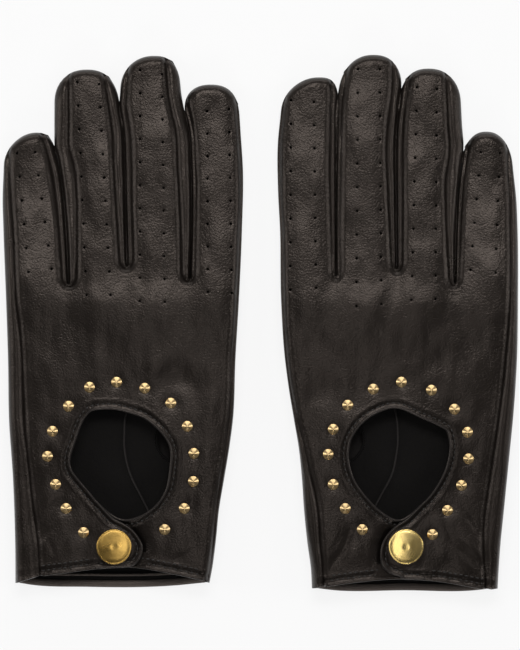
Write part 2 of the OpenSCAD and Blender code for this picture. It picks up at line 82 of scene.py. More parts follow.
# Studs, punched holes, thread and rolled edges
STUD_RADIUS, STUD_HEIGHT = 2.2, 2.6
WASHER = [(0.9, 0), (1.9, 0), (1.9, 0.3), (0.9, 0.3), (0.9, 0)]
HOLE_RADIUS, HOLE_SIDES = 0.55, 10
STITCH_IN, STITCH_PITCH, STITCH_RADIUS, STITCH_RISE = 1.7, 2.2, 0.24, 0.15
STITCH_POINTS, STITCH_ARCH = 6, [-0.2, 0.1, 0.18, 0.1, -0.2]
ROLL, ROLL_SIDES, ROLL_SINK = 0.55, 12, 0.3

# Meshes: point spacing, and what is kept free as a share of it or of a hole's radius
SPACING, PALM_SPACING, TAB_SPACING, ROW_SHARE = 1.15, 1.5, 0.9, 0.866
EDGE_STEP, SIDE_ROWS, ON_EDGE = 0.9, 130, 1e-4
ROW_ANGLES = (22, 40, 58, 76)
FREE_OF_ROWS, FREE_OF_EDGE, FREE_OF_HOLE, HOLE_RING = 0.6, 0.35, 2.1, 1.7
CHUNK = 2000
HASH = (374761393, 668265263, 974711, 1274126177)

# Relief in mm: height, width and the distance from the edge or seam; noise as height, scale and seed
SEWN_MARKS = [(0.25, 0.9), (-0.5, 0.6, STITCH_IN), (0.32, 0.6, STITCH_IN + 1.3)]
SEAM_GROOVE, SEAM_SIDE, SEAM_PULL = (0.95, 0.75), (0.25, 0.8, 1.7), (0.5, 2.8)
STUD_DIP, HOLE_DIP, SLIT_DIP = (0.55, 2.8), (0.15, 0.75), (1.5, 3.2)
GUSSET_RIB, THUMB_GROOVE = (0.45, 1.1), (0.15, 0.5, 2.6)
FINGER_DOME, KNUCKLE_RISE = 0.45, 0.75
KNUCKLE_WIDTH, KNUCKLE_LENGTH, KNUCKLE_BACK = 7.5, 8.5, 4.0
KNUCKLE_STRAY, SLOPE_SOFT, TIP_SHARP = 3.0, 4.0, 12.0
PALM_WAVE = 0.2
FINGERS_FROM, FINGERS_OVER = 112.0, 22.0
CREASE_WANDER = 1.2
SEAT_RADIUS, SEAT_BLEND, OWN_EDGE, SLIT_BLEND = 9.5, 2.5, 3.0, 6.0
FOLD_NOISE = [(0.5, 21, 3), (0.16, 9, 5), (0.03, 3.6, 9)]

# How each glove lies: edge lines as (v, u), loops as (u, v)
LAY = {
    "left": dict(
        little_edge=[(0, -39.8), (20, -39.8), (44, -40.6), (68, -42.2), (92, -42.6), (116, -43.4),
            (144, -44.6), (156, -45), (170, -44.6)],
        index_edge=[(0, 37.4), (8, 39), (20, 40.6), (32, 41.8), (44, 43.8), (56, 45.8), (68, 47.4),
            (92, 48.4), (116, 49.8), (144, 51), (168, 51.4), (184, 50.4)],
        gaps=[([(122, -18.3), (141.6, -19.2), (159.3, -20.6), (170, -22.2), (176.8, -24)], [(184, -24.2),
            (192, -24.2)]), ([(128, 5.1), (152, 4.4), (170, 4), (184, 3.4), (194, 1.9)], [(200, 2.2),
            (206, 2.4)]), ([(123, 30.2), (148.6, 30.8), (170, 30.5), (184.3, 29.6), (194, 27.4)],
            [(200, 26.4), (206, 26)])],
        crotch=[121.1, 128.2, 123.2],
        strips=[((2.6, 3.9), (3.2, 5.8)), ((3.0, 4.6), (2.8, 2.7)), ((3.6, 5.4), (1.9, 1.7))],
        tips=[(-31.4, 183.2), (-11.2, 208.5), (15.8, 214), (38.5, 202.5)],
        little_seam=[(6, 10), (19, 9.2), (34, 7.6), (52, 6.6), (78, 6), (104, 5.2), (113, 4.4), (140, 4),
            (156, 3.4), (175, 1.8)],
        index_seam=[(4, 1), (66, 1.6), (110, 1), (190, 0.9)],
        hem=[(-40, 3.4), (-30, 6), (-20, 7.4), (-5.8, 9.2), (7.4, 9.6), (25, 6.8), (37.4, 4), (40, 3.4)],
        palm_hem=[(-40, 2.8), (-36, 2), (-10.6, 0.8), (21.8, 1.2), (38.6, 2.8)],
        keyhole=[(-7.8, 72.4), (-1, 72.8), (5, 71.6), (12.6, 68.8), (19.4, 62.8), (22.6, 56.8),
            (22.6, 49.2), (21, 40.4), (16.6, 33.6), (9.8, 29.2), (2.6, 28.2), (-4.6, 32.8), (-10.6, 39.6),
            (-17, 47.6), (-17.8, 52.8), (-15.8, 59.6), (-13, 67.2), (-10.2, 71.2)],
        tab=[(-4.6, 32.8), (-0.6, 28.6), (3.8, 26.2), (7.6, 23.4), (10.6, 18.8), (10.8, 14.8), (9, 11.6),
            (6.2, 10), (0.6, 9.6)],
        holes=[((17, 153), (35, 152), (29, 272), (52, 269), 6),
            ((77, 82), (99, 84), (87, 295), (111, 295), 10),
            ((140, 70), (162, 74), (140, 301), (165, 302), 11),
            ((207, 111), (229, 109), (208, 292), (232, 293), 9)],
        gusset=[(20, 18), (12.6, 33.2), (6.6, 45.2), (4.2, 54), (3.8, 62), (5, 72), (12, 86), (28, 97)],
        studs=[(-9.8, 81.2), (1, 83.2), (12.2, 80.8), (22.6, 74.8), (29.2, 65.6), (31.8, 54.8),
            (31.6, 43.6), (28, 32.8), (20.2, 24.4), (-12.2, 23.2), (-19.2, 32.8), (-23.4, 42.4),
            (-26.6, 53.6), (-24.6, 63.6), (-18.2, 73.6)],
        creases=[((-30, 22), (-20, 40), 2.2, 0.35), ((-27, 12), (-15, 26), 1.8, 0.35),
            ((20, 88), (36, 80), 5, 0.8), ((30, 24), (34, 46), 3, 0.5), ((-36, 60), (-32, 84), 4, 0.5),
            ((10, 84), (25, 98), 5, -0.8), ((37, 46), (38, 88), 4, -0.5), ((-31, 27), (-17, 39), 0.9, 0.3),
            ((-32, 18), (-22, 27), 0.9, 0.3), ((-30, 22.5), (-19, 33), 0.8, 0.22),
            ((27, 44), (33, 34), 0.9, 0.25), ((21, 12), (32, 16.5), 1.1, 0.35),
            ((-24, 13), (-30, 24), 0.9, 0.25)],
    ),
    "right": dict(
        little_edge=[(0, -37), (8, -37.4), (20, -38.2), (32, -39.4), (44, -40.6), (56, -41.8), (68, -43),
            (92, -44.6), (116, -45), (144, -45), (156, -44.6), (168, -43.4)],
        index_edge=[(0, 37.4), (8, 37.8), (20, 39.4), (32, 40.6), (44, 41.4), (56, 42.6), (68, 44.6),
            (80, 46.6), (92, 48.2), (116, 49.8), (144, 50.2), (160, 51), (180, 51), (190, 50)],
        gaps=[([(121, -19.6), (148.6, -20.4), (162.8, -21.4), (177.6, -23.4)], [(186, -22.8),
            (194, -22.4)]), ([(127, 3.6), (156, 3.8), (184.4, 3.6), (204.8, 1.4)], [(210, 1.5)]),
            ([(124, 27.8), (170, 27.6), (199.2, 26.8)], [(206, 25.6)])],
        crotch=[121.4, 127.2, 124.3],
        strips=[((1.8, 1.9), (2.2, 5.6)), ((2.6, 3.0), (2.1, 3.7)), ((1.8, 1.9), (1.5, 2.9))],
        tips=[(-32.6, 183.6), (-9.4, 208.9), (12.6, 214.4), (34.4, 205.4)],
        little_seam=[(2, 5.2), (27, 7.6), (49, 6.8), (71, 5.8), (104, 4), (110, 3.6), (148, 3), (175, 1.6)],
        index_seam=[(0, 4.4), (16, 5), (34, 5.4), (50, 3), (71, 1.2), (110, 1), (190, 0.9)],
        hem=[(-40, -0.4), (-32.2, 0.8), (-10.2, 4.4), (8.6, 4.8), (19.4, 3.8), (33.4, 1.8), (40, 0.8)],
        palm_hem=[(-37, 0.6), (-30, -0.4), (0, -0.6), (30, -0.4), (37.4, 0.6)],
        keyhole=[(3.4, 73.2), (-6.2, 69.2), (-15, 65.2), (-17, 62.4), (-17.8, 56), (-15.8, 47.6),
            (-11, 39.2), (-5.4, 33.2), (1.8, 28), (8.2, 30), (15, 36), (20.6, 43.6), (23, 51.2), (23, 56.8),
            (21.4, 62), (17, 67.6), (10.6, 71.6)][::-1],
        tab=[(-5.4, 33.2), (-0.6, 28.4), (3, 26), (6.2, 23.2), (8.8, 19.2), (9.8, 14), (9, 9.8), (6.2, 7.4),
            (2.2, 6)],
        holes=[((500, 153), (481, 152), (495, 273), (470, 270), 6),
            ((437, 89), (417, 87), (435, 299), (411, 300), 10),
            ((380, 69), (358, 69), (381, 304), (356, 306), 11),
            ((314, 102), (291, 100), (316, 288), (290, 290), 9)],
        gusset=[(20, 18), (10.2, 36.8), (5.4, 46), (3.6, 54), (3, 61), (4.4, 73), (12, 87), (28, 98)],
        studs=[(13, 80.4), (1.8, 83.2), (-10.2, 80), (-19.4, 72.4), (-24.6, 63.2), (-25, 52.6), (-22.2, 42),
            (-16.6, 32), (-10.6, 22.4), (17.4, 24.4), (24.2, 32.8), (29, 42.4), (31, 54.4), (29, 64.4),
            (23.2, 74)],
        creases=[((21, 27), (31, 6), 1.9, 0.95), ((26, 25), (31, 15), 0.8, 0.35),
            ((17, 22), (16, 11), 0.8, 0.2), ((20, 19), (21, 11), 3.5, -0.45),
            ((-22, 33), (-31, 20), 1.4, 0.6), ((-19, 22), (-30, 8), 2.0, 0.95),
            ((-24, 21), (-31, 12), 1.4, -0.35), ((-14, 18), (-16, 11), 3.5, -0.45),
            ((20, 34), (13, 23), 0.9, 0.3), ((-16, 28), (-20, 18), 0.8, 0.3),
            ((-12, 20), (-14, 12), 0.8, 0.15), ((-34, 64), (-30, 90), 4, 0.5), ((26, 84), (40, 74), 5, 0.6),
            ((-6, 88), (-20, 96), 5, 0.5)],
    ),
}
PHOTO_SCALE, PHOTO_V0, PHOTO_U0 = 0.4, 590.0, {"left": 114.5, "right": 405.5}


# Curves and distances

def line(knots):
    """Smooth function through (x, y) knots, straight beyond both ends."""
    x, y = np.array(sorted(knots), float).T
    slope = np.gradient(y, x)

    def at(value):
        value = np.asarray(value, float)
        held = np.clip(value, x[0], x[-1])
        k = np.clip(np.searchsorted(x, held) - 1, 0, len(x) - 2)
        h = x[k + 1] - x[k]
        t = (held - x[k]) / h
        curve = (y[k] * (1 + 2 * t) * (1 - t) ** 2 + y[k + 1] * t * t * (3 - 2 * t)
                 + h * slope[k] * t * (1 - t) ** 2 + h * slope[k + 1] * t * t * (t - 1))
        ends = np.where(value < x[0], slope[0], slope[-1])
        return curve + ends * (value - held)
    return at


def resample(points, step, closed=False):
    """Points at an even step along a polyline."""
    p = stack(points, points[:1]) if closed else np.asarray(points, float)
    run = np.r_[0, np.cumsum(np.linalg.norm(np.diff(p, axis=0), axis=1))]
    count = max(2, int(round(run[-1] / step)) + 1)
    s = np.linspace(0, run[-1], count)
    if closed:
        s = s[:-1]
    return cols(*[np.interp(s, run, p[:, k]) for k in range(p.shape[1])])


def rounded(points, closed, step):
    """Smooth curve through points, resampled."""
    p = np.array(points, float)
    n = len(p)
    out = []
    t = np.linspace(0, 1, 10, endpoint=False)[:, None]
    for k in range(n if closed else n - 1):
        if closed:
            a, b, c, d = p[k - 1], p[k], p[(k + 1) % n], p[(k + 2) % n]
        else:
            a, b, c, d = p[max(k - 1, 0)], p[k], p[k + 1], p[min(k + 2, n - 1)]
        out.append(0.5 * (2 * b + (c - a) * t + (2 * a - 5 * b + 4 * c - d) * t ** 2
                          + (3 * b - a - 3 * c + d) * t ** 3))
    if not closed:
        out.append(p[-1:])
    return resample(stack(*out), step, closed)


def distance(points, path, closed=False):
    """Distance of each point from a polyline."""
    points = np.asarray(points, float)
    a = path if closed else path[:-1]
    b = np.roll(path, -1, 0) if closed else path[1:]
    ab = b - a
    size = np.maximum((ab ** 2).sum(1), 1e-12)
    best = np.empty(len(points))
    for lo in range(0, len(points), CHUNK):
        ap = points[lo:lo + CHUNK, None] - a
        t = unit((ap * ab).sum(2) / size)
        best[lo:lo + CHUNK] = np.sqrt(((ap - t[..., None] * ab) ** 2).sum(2).min(1))
    return best


def inside(points, loop):
    """Which points lie inside a closed loop."""
    x, y = np.asarray(points, float).T
    found = np.zeros(len(x), bool)
    for (ax, ay), (bx, by) in zip(loop, np.roll(loop, -1, 0)):
        if ay != by:
            found ^= ((ay > y) != (by > y)) & (x < (bx - ax) * (y - ay) / (by - ay) + ax)
    return found


def cols(*parts):
    return np.column_stack(parts)


def stack(*parts):
    return np.vstack(parts)


def unit(x):
    return np.clip(x, 0, 1)


def directions(d):
    """Rows scaled to length 1."""
    return d / np.maximum(np.linalg.norm(d, axis=1), 1e-9)[:, None]


def circle(count):
    """Points round a circle of radius 1."""
    turn = np.linspace(0, 2 * math.pi, count, endpoint=False)
    return cols(np.cos(turn), np.sin(turn))


def mark(d, height, width, at=0.0):
    """Bell-shaped relief: its height, its width and the distance at which it stands."""
    return height * np.exp(-((d - at) / width) ** 2)


def sewn_edge(d):
    """Relief beside a turned edge: its roll, the trough of the stitch row and the ridge past it."""
    return sum(mark(d, *m) for m in SEWN_MARKS)


def heading(path, closed=False):
    """Unit directions of a path at its points."""
    return directions(np.roll(path, -1, 0) - np.roll(path, 1, 0) if closed else np.gradient(path, axis=0))


def normals_2d(path, closed=False):
    """Unit normals on the right of a path's direction."""
    d = heading(path, closed)
    return cols(d[:, 1], -d[:, 0])


def inner_rows(path, loop, roll, closed=False):
    """Points on rows just inside a rolled edge, so that its curve is smooth."""
    run = resample(path, 0.8, closed)
    out = []
    for angle in ROW_ANGLES:
        depth = roll * (1 - math.cos(math.radians(angle)))
        moved = stack(*[run + normals_2d(run, closed) * x for x in (-depth, depth)])
        moved = moved[inside(moved, loop)]
        out.append(moved[np.abs(distance(moved, path, closed) - depth) < 0.05 * roll])
    return stack(*out)


def noise(p, scale, seed):
    """Smooth noise from -1 to 1 over 2-D points."""
    q = np.asarray(p, float) / scale
    cell = np.floor(q).astype(int)
    f = q - cell
    w = f * f * (3 - 2 * f)

    def corner(dx, dy):
        n = (cell[:, 0] + dx) * HASH[0] + (cell[:, 1] + dy) * HASH[1] + seed * HASH[2]
        n = (n ^ (n >> 13)) * HASH[3]
        return ((n ^ (n >> 16)) & 0xFFFF) / 32767.5 - 1
    low = corner(0, 0) * (1 - w[:, 0]) + corner(1, 0) * w[:, 0]
    high = corner(0, 1) * (1 - w[:, 0]) + corner(1, 1) * w[:, 0]
    return low * (1 - w[:, 1]) + high * w[:, 1]


# Meshes

def fill(loop, cuts=(), holes=(), extra=None, spacing=SPACING):
    """Triangles inside a loop, outside the cut loops and the round holes."""
    low, high = loop.min(0), loop.max(0)
    columns = np.arange(low[0], high[0], spacing)
    rows = np.arange(low[1], high[1], spacing * ROW_SHARE)
    points = stack(*[cols(columns + (k % 2) * spacing / 2, np.full(len(columns), y))
                     for k, y in enumerate(rows)])
    loops = [loop, *cuts]
    if extra is not None and len(extra):
        near = np.ones(len(points), bool)
        for lo in range(0, len(points), CHUNK):
            gap = ((points[lo:lo + CHUNK, None] - extra) ** 2).sum(2).min(1)
            near[lo:lo + CHUNK] = gap > (FREE_OF_ROWS * spacing) ** 2
        points = stack(points[near], extra)
    keep = inside(points, loop)
    for path in loops:
        keep &= distance(points, path, True) > FREE_OF_EDGE * spacing
    for cut in cuts:
        keep &= ~inside(points, cut)
    for hole in holes:
        keep &= ((points - hole) ** 2).sum(1) > (FREE_OF_HOLE * HOLE_RADIUS) ** 2
    ring = circle(HOLE_SIDES) * HOLE_RADIUS
    parts, edges, start = [], [], 0
    rings = [(hole + ring, [hole + ring * HOLE_RING]) for hole in holes]
    for path, beside in [(x, []) for x in loops] + rings:
        n = len(path)
        parts += [path, *beside]
        edges += [(start + k, start + (k + 1) % n) for k in range(n)]
        start += n * (1 + len(beside))
    flat = stack(*parts, points[keep])
    found = delaunay_2d_cdt([Vector(p) for p in flat], edges, [], 0, 1e-5)
    verts = np.array([tuple(v) for v in found[0]])
    faces = np.array([f for f in found[2] if len(f) == 3])
    centre = verts[faces].mean(1)
    good = inside(centre, loop)
    for cut in cuts:
        good &= ~inside(centre, cut)
    for hole in holes:
        good &= ((centre - hole) ** 2).sum(1) > (0.93 * HOLE_RADIUS) ** 2
    return verts, [tuple(f) for f in faces[good]]


def grid_faces(rows, columns, closed=False):
    """Quads of a grid whose rows follow each other."""
    out = []
    for r in range(rows - 1):
        for c in range(columns if closed else columns - 1):
            d = (c + 1) % columns
            out.append((r * columns + c, r * columns + d, (r + 1) * columns + d, (r + 1) * columns + c))
    return out


def turned(faces):
    """Faces that look the other way."""
    return [f[::-1] for f in faces]


def weld(verts, faces):
    """Joins points at the same place and drops faces that collapse."""
    keys, index = np.unique(np.round(verts, 3), axis=0, return_inverse=True)
    index = index.reshape(-1)
    first = np.zeros(len(keys), int)
    first[index[::-1]] = np.arange(len(verts))[::-1]
    out = []
    for f in faces:
        g = [int(index[i]) for i in f]
        g = [a for k, a in enumerate(g) if a != g[k - 1]]
        if len(set(g)) == len(g) and len(g) >= 3:
            out.append(tuple(g))
    return np.asarray(verts)[first], out


def merge(*meshes):
    """One list of points and faces from several."""
    verts, faces, start = [], [], 0
    for v, f in meshes:
        verts.append(v)
        faces += [tuple(i + start for i in g) for g in f]
        start += len(v)
    return stack(*verts), faces


def by_size(faces):
    """Faces as arrays, one for triangles and one for quads."""
    return [np.array(group) for group in ([f for f in faces if len(f) == n] for n in (3, 4)) if group]


def point_normals(verts, faces):
    out = np.zeros_like(verts)
    for group in by_size(faces):
        a, b, c = verts[group[:, 0]], verts[group[:, 1]], verts[group[:, -1]]
        n = np.cross(b - a, c - a)
        for k in range(group.shape[1]):
            np.add.at(out, group[:, k], n)
    return out / np.maximum(np.linalg.norm(out, axis=1), 1e-12)[:, None]


def thicken(verts, faces, thickness=LEATHER, sharp=True):
    """Closed sheet: the outer skin, a rim and an inner skin. Returns the number of outer faces too."""
    inner = verts - point_normals(verts, faces) * np.broadcast_to(thickness, len(verts))[:, None]
    n = len(verts)
    seen = {}
    for f in faces:
        for k in range(len(f)):
            a, b = f[k], f[(k + 1) % len(f)]
            if (b, a) in seen:
                del seen[(b, a)]
            else:
                seen[(a, b)] = True
    edge = sorted({i for pair in seen for i in pair})
    place = {i: 2 * n + k if sharp else i for k, i in enumerate(edge)}
    m = len(edge) if sharp else n
    rim = [(place[b], place[a], place[a] + m, place[b] + m) for a, b in seen]
    points = stack(verts, inner, verts[edge], inner[edge])
    return points, list(faces) + rim + [tuple(i + n for i in f[::-1]) for f in faces], len(faces)


def area_of(verts, faces):
    """Area of a skin, in square mm."""
    total = 0.0
    for group in by_size(faces):
        for k in range(1, group.shape[1] - 1):
            a, b, c = verts[group[:, 0]], verts[group[:, k]], verts[group[:, k + 1]]
            total += np.linalg.norm(np.cross(b - a, c - a), axis=1).sum() / 2
    return float(total)


def tube(path, radius, sides=10, closed=False, flat=1.0):
    """Round or flattened cord along a 3-D path, with rounded ends."""
    path = np.asarray(path, float)
    forward = heading(path, closed)
    side = directions(np.cross(forward, (0, 0, 1)))
    rise = np.cross(side, forward)
    size = np.full(len(path), radius, float)
    if not closed:
        size[[0, -1]] *= 0.35
    x, y = circle(sides).T[..., None]
    verts = stack(*[p + r * (x * a + flat * y * b) for p, r, a, b in zip(path, size, side, rise)])
    faces = grid_faces(len(path), sides, True)
    last = (len(path) - 1) * sides
    if closed:
        faces += [(last + c, last + (c + 1) % sides, (c + 1) % sides, c) for c in range(sides)]
    else:
        faces += [tuple(range(sides))[::-1], tuple(range(last, last + sides))]
    return verts, turned(faces)


def stitches(path):
    """Separate thread stitches that dip into the leather along a 3-D path."""
    run = resample(path, STITCH_PITCH / STITCH_POINTS)
    out = []
    for k in range(0, len(run) - STITCH_POINTS, STITCH_POINTS):
        part = run[k:k + len(STITCH_ARCH)].copy()
        part[:, 2] += STITCH_ARCH
        out.append(tube(part, STITCH_RADIUS, 6))
    return merge(*out)


def lathe(profile, sides):
    """Turned piece about +Z from (radius, height) points; equal points make a sharp edge."""
    chains = [[]]
    for p in profile:
        if chains[-1] and chains[-1][-1] == p:
            chains.append([])
        chains[-1].append(p)
    ring = circle(sides)
    return merge(*[(stack(*[cols(r * ring, np.full(sides, z)) for r, z in chain]),
                    grid_faces(len(chain), sides, True)) for chain in chains])


# Materials

def shader(name):
    material = bpy.data.materials.new(name)
    material.use_nodes = True
    return material, material.node_tree, material.node_tree.nodes["Principled BSDF"]


def is_link(value):
    return isinstance(value, tuple) and isinstance(value[0], bpy.types.Node)


def join(tree, node, sockets):
    """Fills a node's sockets: a (node, output) pair is linked, and anything else is a value."""
    for key, value in sockets.items():
        if is_link(value):
            tree.links.new(value[0].outputs[value[1]], node.inputs[key])
        else:
            node.inputs[key].default_value = value


def add(tree, kind, sockets, **settings):
    """New shader node."""
    node = tree.nodes.new("ShaderNode" + kind)
    for key, value in settings.items():
        setattr(node, key, value)
    join(tree, node, sockets)
    return node


def texture(tree, kind, sockets, stretch=None, **settings):
    """Texture node on the piece's own coordinates, drawn out along Y where stretch is given."""
    at = tree.nodes.get("where") or add(tree, "TexCoord", {}, name="where"), "Object"
    if stretch:
        at = add(tree, "Mapping", {"Vector": at, "Scale": (1, 1 / stretch, 1)}), "Vector"
    return add(tree, "Tex" + kind, {"Vector": at, **sockets}, **settings)


def noise_map(tree, scale, detail, rough=0.5, stretch=None):
    return texture(tree, "Noise", {"Scale": scale, "Detail": detail, "Roughness": rough}, stretch), "Fac"


def ramp(tree, source, low, high, span=(0, 1), **settings):
    """Maps a value in the span to the range from low to high."""
    ends = {"From Min": span[0], "From Max": span[1], "To Min": low, "To Max": high}
    return add(tree, "MapRange", {"Value": source, **ends}, **settings), "Result"


def tint(tree, source, low, high):
    """Colour between two by a 0 to 1 value."""
    low, high = [x if is_link(x) else (*x, 1) for x in (low, high)]
    return add(tree, "Mix", {0: source, 6: low, 7: high}, data_type="RGBA"), 2


def bump(tree, bsdf, *heights):
    """Stacks bumps: (source, strength, distance)."""
    below = {}
    for source, strength, depth in heights:
        last = add(tree, "Bump", {"Height": source, "Strength": strength, "Distance": depth, **below})
        below = {"Normal": (last, "Normal")}
    join(tree, bsdf, below)


def crackle(tree, scale, depth, warp):
    """Fine grooves between cells of grain, bent by noise: 0 in a groove, 1 on a cell."""
    bend = noise_map(tree, scale * 0.7, 2)[0]
    here = tree.nodes["where"], "Object"
    moved = add(tree, "VectorMath", {0: (bend, "Color"), 1: (warp, warp, warp), 2: here},
                operation="MULTIPLY_ADD")
    cells = texture(tree, "Voronoi", {"Scale": scale, "Vector": (moved, "Vector")},
                    feature="DISTANCE_TO_EDGE")
    return ramp(tree, (cells, "Distance"), 0, 1, (0, depth), interpolation_type="SMOOTHSTEP")


def leather(name, dark, light, gloss, grain=1.0):
    """Smooth hide with a fine pebble grain and cloudy polish, and painted shade along its sewn edges."""
    material, tree, bsdf = shader(name)
    cloud = noise_map(tree, 55, 6, 0.62)
    # Painted shade: the attribute set near sewn edges darkens the base colour there.
    sewn = add(tree, "Attribute", {}, attribute_name=PAINTED_SHADE_ATTRIBUTE), "Fac"
    join(tree, bsdf, {
        "Base Color": tint(tree, sewn, tint(tree, cloud, dark, light), tuple(x * PAINTED_SHADE_SHARE for x in dark)),
        "Roughness": ramp(tree, cloud, gloss - 0.07, gloss + 0.09),
        "Specular IOR Level": 0.3,
        "Specular Tint": (*WARM, 1)})
    bump(tree, bsdf,
         (noise_map(tree, 110, 1, stretch=2), 1.0, 0.0009 * grain),
         (crackle(tree, 300, 0.16, 0.003), 0.6 * grain, 0.00003),
         (crackle(tree, 880, 0.32, 0.0007), 0.7 * grain, 0.000045),
         (noise_map(tree, 2000, 3), 0.4 * grain, 0.0001))
    return material


def suede(name, dark, light):
    """Napped flesh side of the hide."""
    material, tree, bsdf = shader(name)
    nap = noise_map(tree, 900, 5, 0.7)
    join(tree, bsdf, {"Base Color": tint(tree, nap, dark, light), "Roughness": 0.97,
                      "Specular IOR Level": 0.1})
    bump(tree, bsdf, (nap, 0.5, 0.0002))
    return material


def thread(name, dark, light):
    material, tree, bsdf = shader(name)
    twist = texture(tree, "Wave", {"Scale": 900, "Distortion": 1.5}), "Fac"
    join(tree, bsdf, {"Base Color": tint(tree, twist, dark, light), "Roughness": 0.6})
    bump(tree, bsdf, (twist, 0.4, 0.0001))
    return material


def brass(name, dark, light, gloss, turned=0.0, dents=0.0):
    """Plated metal; turned gives a spun finish round the piece's own Z axis."""
    material, tree, bsdf = shader(name)
    cloud = noise_map(tree, 260, 4)
    join(tree, bsdf, {"Base Color": tint(tree, cloud, dark, light), "Metallic": 1,
                      "Roughness": ramp(tree, cloud, gloss - 0.05, gloss + 0.06)})
    layers = [(noise_map(tree, 3000, 2), 0.06, 0.00005)]
    if turned:
        radial = add(tree, "Tangent", {}, direction_type="RADIAL", axis="Z")
        join(tree, bsdf, {"Anisotropic": turned, "Tangent": (radial, "Tangent")})
        rings = texture(tree, "Wave", {"Scale": 900, "Distortion": 0.4}, wave_type="RINGS",
                        rings_direction="Z")
        layers.append(((rings, "Fac"), 0.08, 0.00005))
    if dents:
        layers.append((noise_map(tree, 170, 1), dents, 0.0006))
    bump(tree, bsdf, *layers)
    return material


WARM = (1.0, 0.84, 0.74)
# Painted shade along sewn edges: the attribute's name, the share of the dark colour left there, and its reach
# in mm.
PAINTED_SHADE_ATTRIBUTE, PAINTED_SHADE_SHARE, PAINTED_SHADE_REACH = "sewn", 0.3, 3.2
HIDE = leather("glove_leather", (0.005, 0.004, 0.0034), (0.0125, 0.0099, 0.0085), 0.29)
EDGE = leather("edge_leather", (0.011, 0.0099, 0.0094), (0.021, 0.0189, 0.018), 0.26, 0.4)
# Painted light: the turned leather of the palm hem's roll and lip and of the tab's facing is the hide made
# several times lighter, standing in for light on the hem in the wrist's shade.
LIT_TURNED_LEATHER = leather("inner_leather", (0.052, 0.044, 0.039), (0.104, 0.087, 0.077), 0.42, 0.7)
NAP = suede("inner_suede", (0.0045, 0.0042, 0.004), (0.011, 0.0099, 0.0094))
# Lighter suede of the seam lips, also used on the thumb's lining as painted light.
SEAM_LIP_AND_LIT_LINING = suede("seam_lip_and_lit_lining", (0.018, 0.0165, 0.016), (0.034, 0.03, 0.0285))
THREAD = thread("seam_thread", (0.015, 0.0135, 0.0125), (0.0255, 0.02295, 0.02125))
# Painted shade and light: one brass for both snap caps, darker on the left cap and lighter on the right to
# copy how each is lit; the left is spun more, the right has dents.
CAP_BRASS_SHADED_AND_LIT = {"left": brass("left_snap_brass_shaded", (0.49, 0.3, 0.072), (0.6, 0.38, 0.11), 0.28, 0.72),
             "right": brass("right_snap_brass_lit", (0.7, 0.49, 0.15), (0.9, 0.69, 0.29), 0.22, 0.3, 0.16)}
SNAP_METAL = brass("snap_metal", (0.5, 0.36, 0.15), (0.68, 0.5, 0.23), 0.34)
STUD_METAL = brass("stud_brass", (0.6, 0.42, 0.19), (0.76, 0.55, 0.29), 0.27)


# One glove

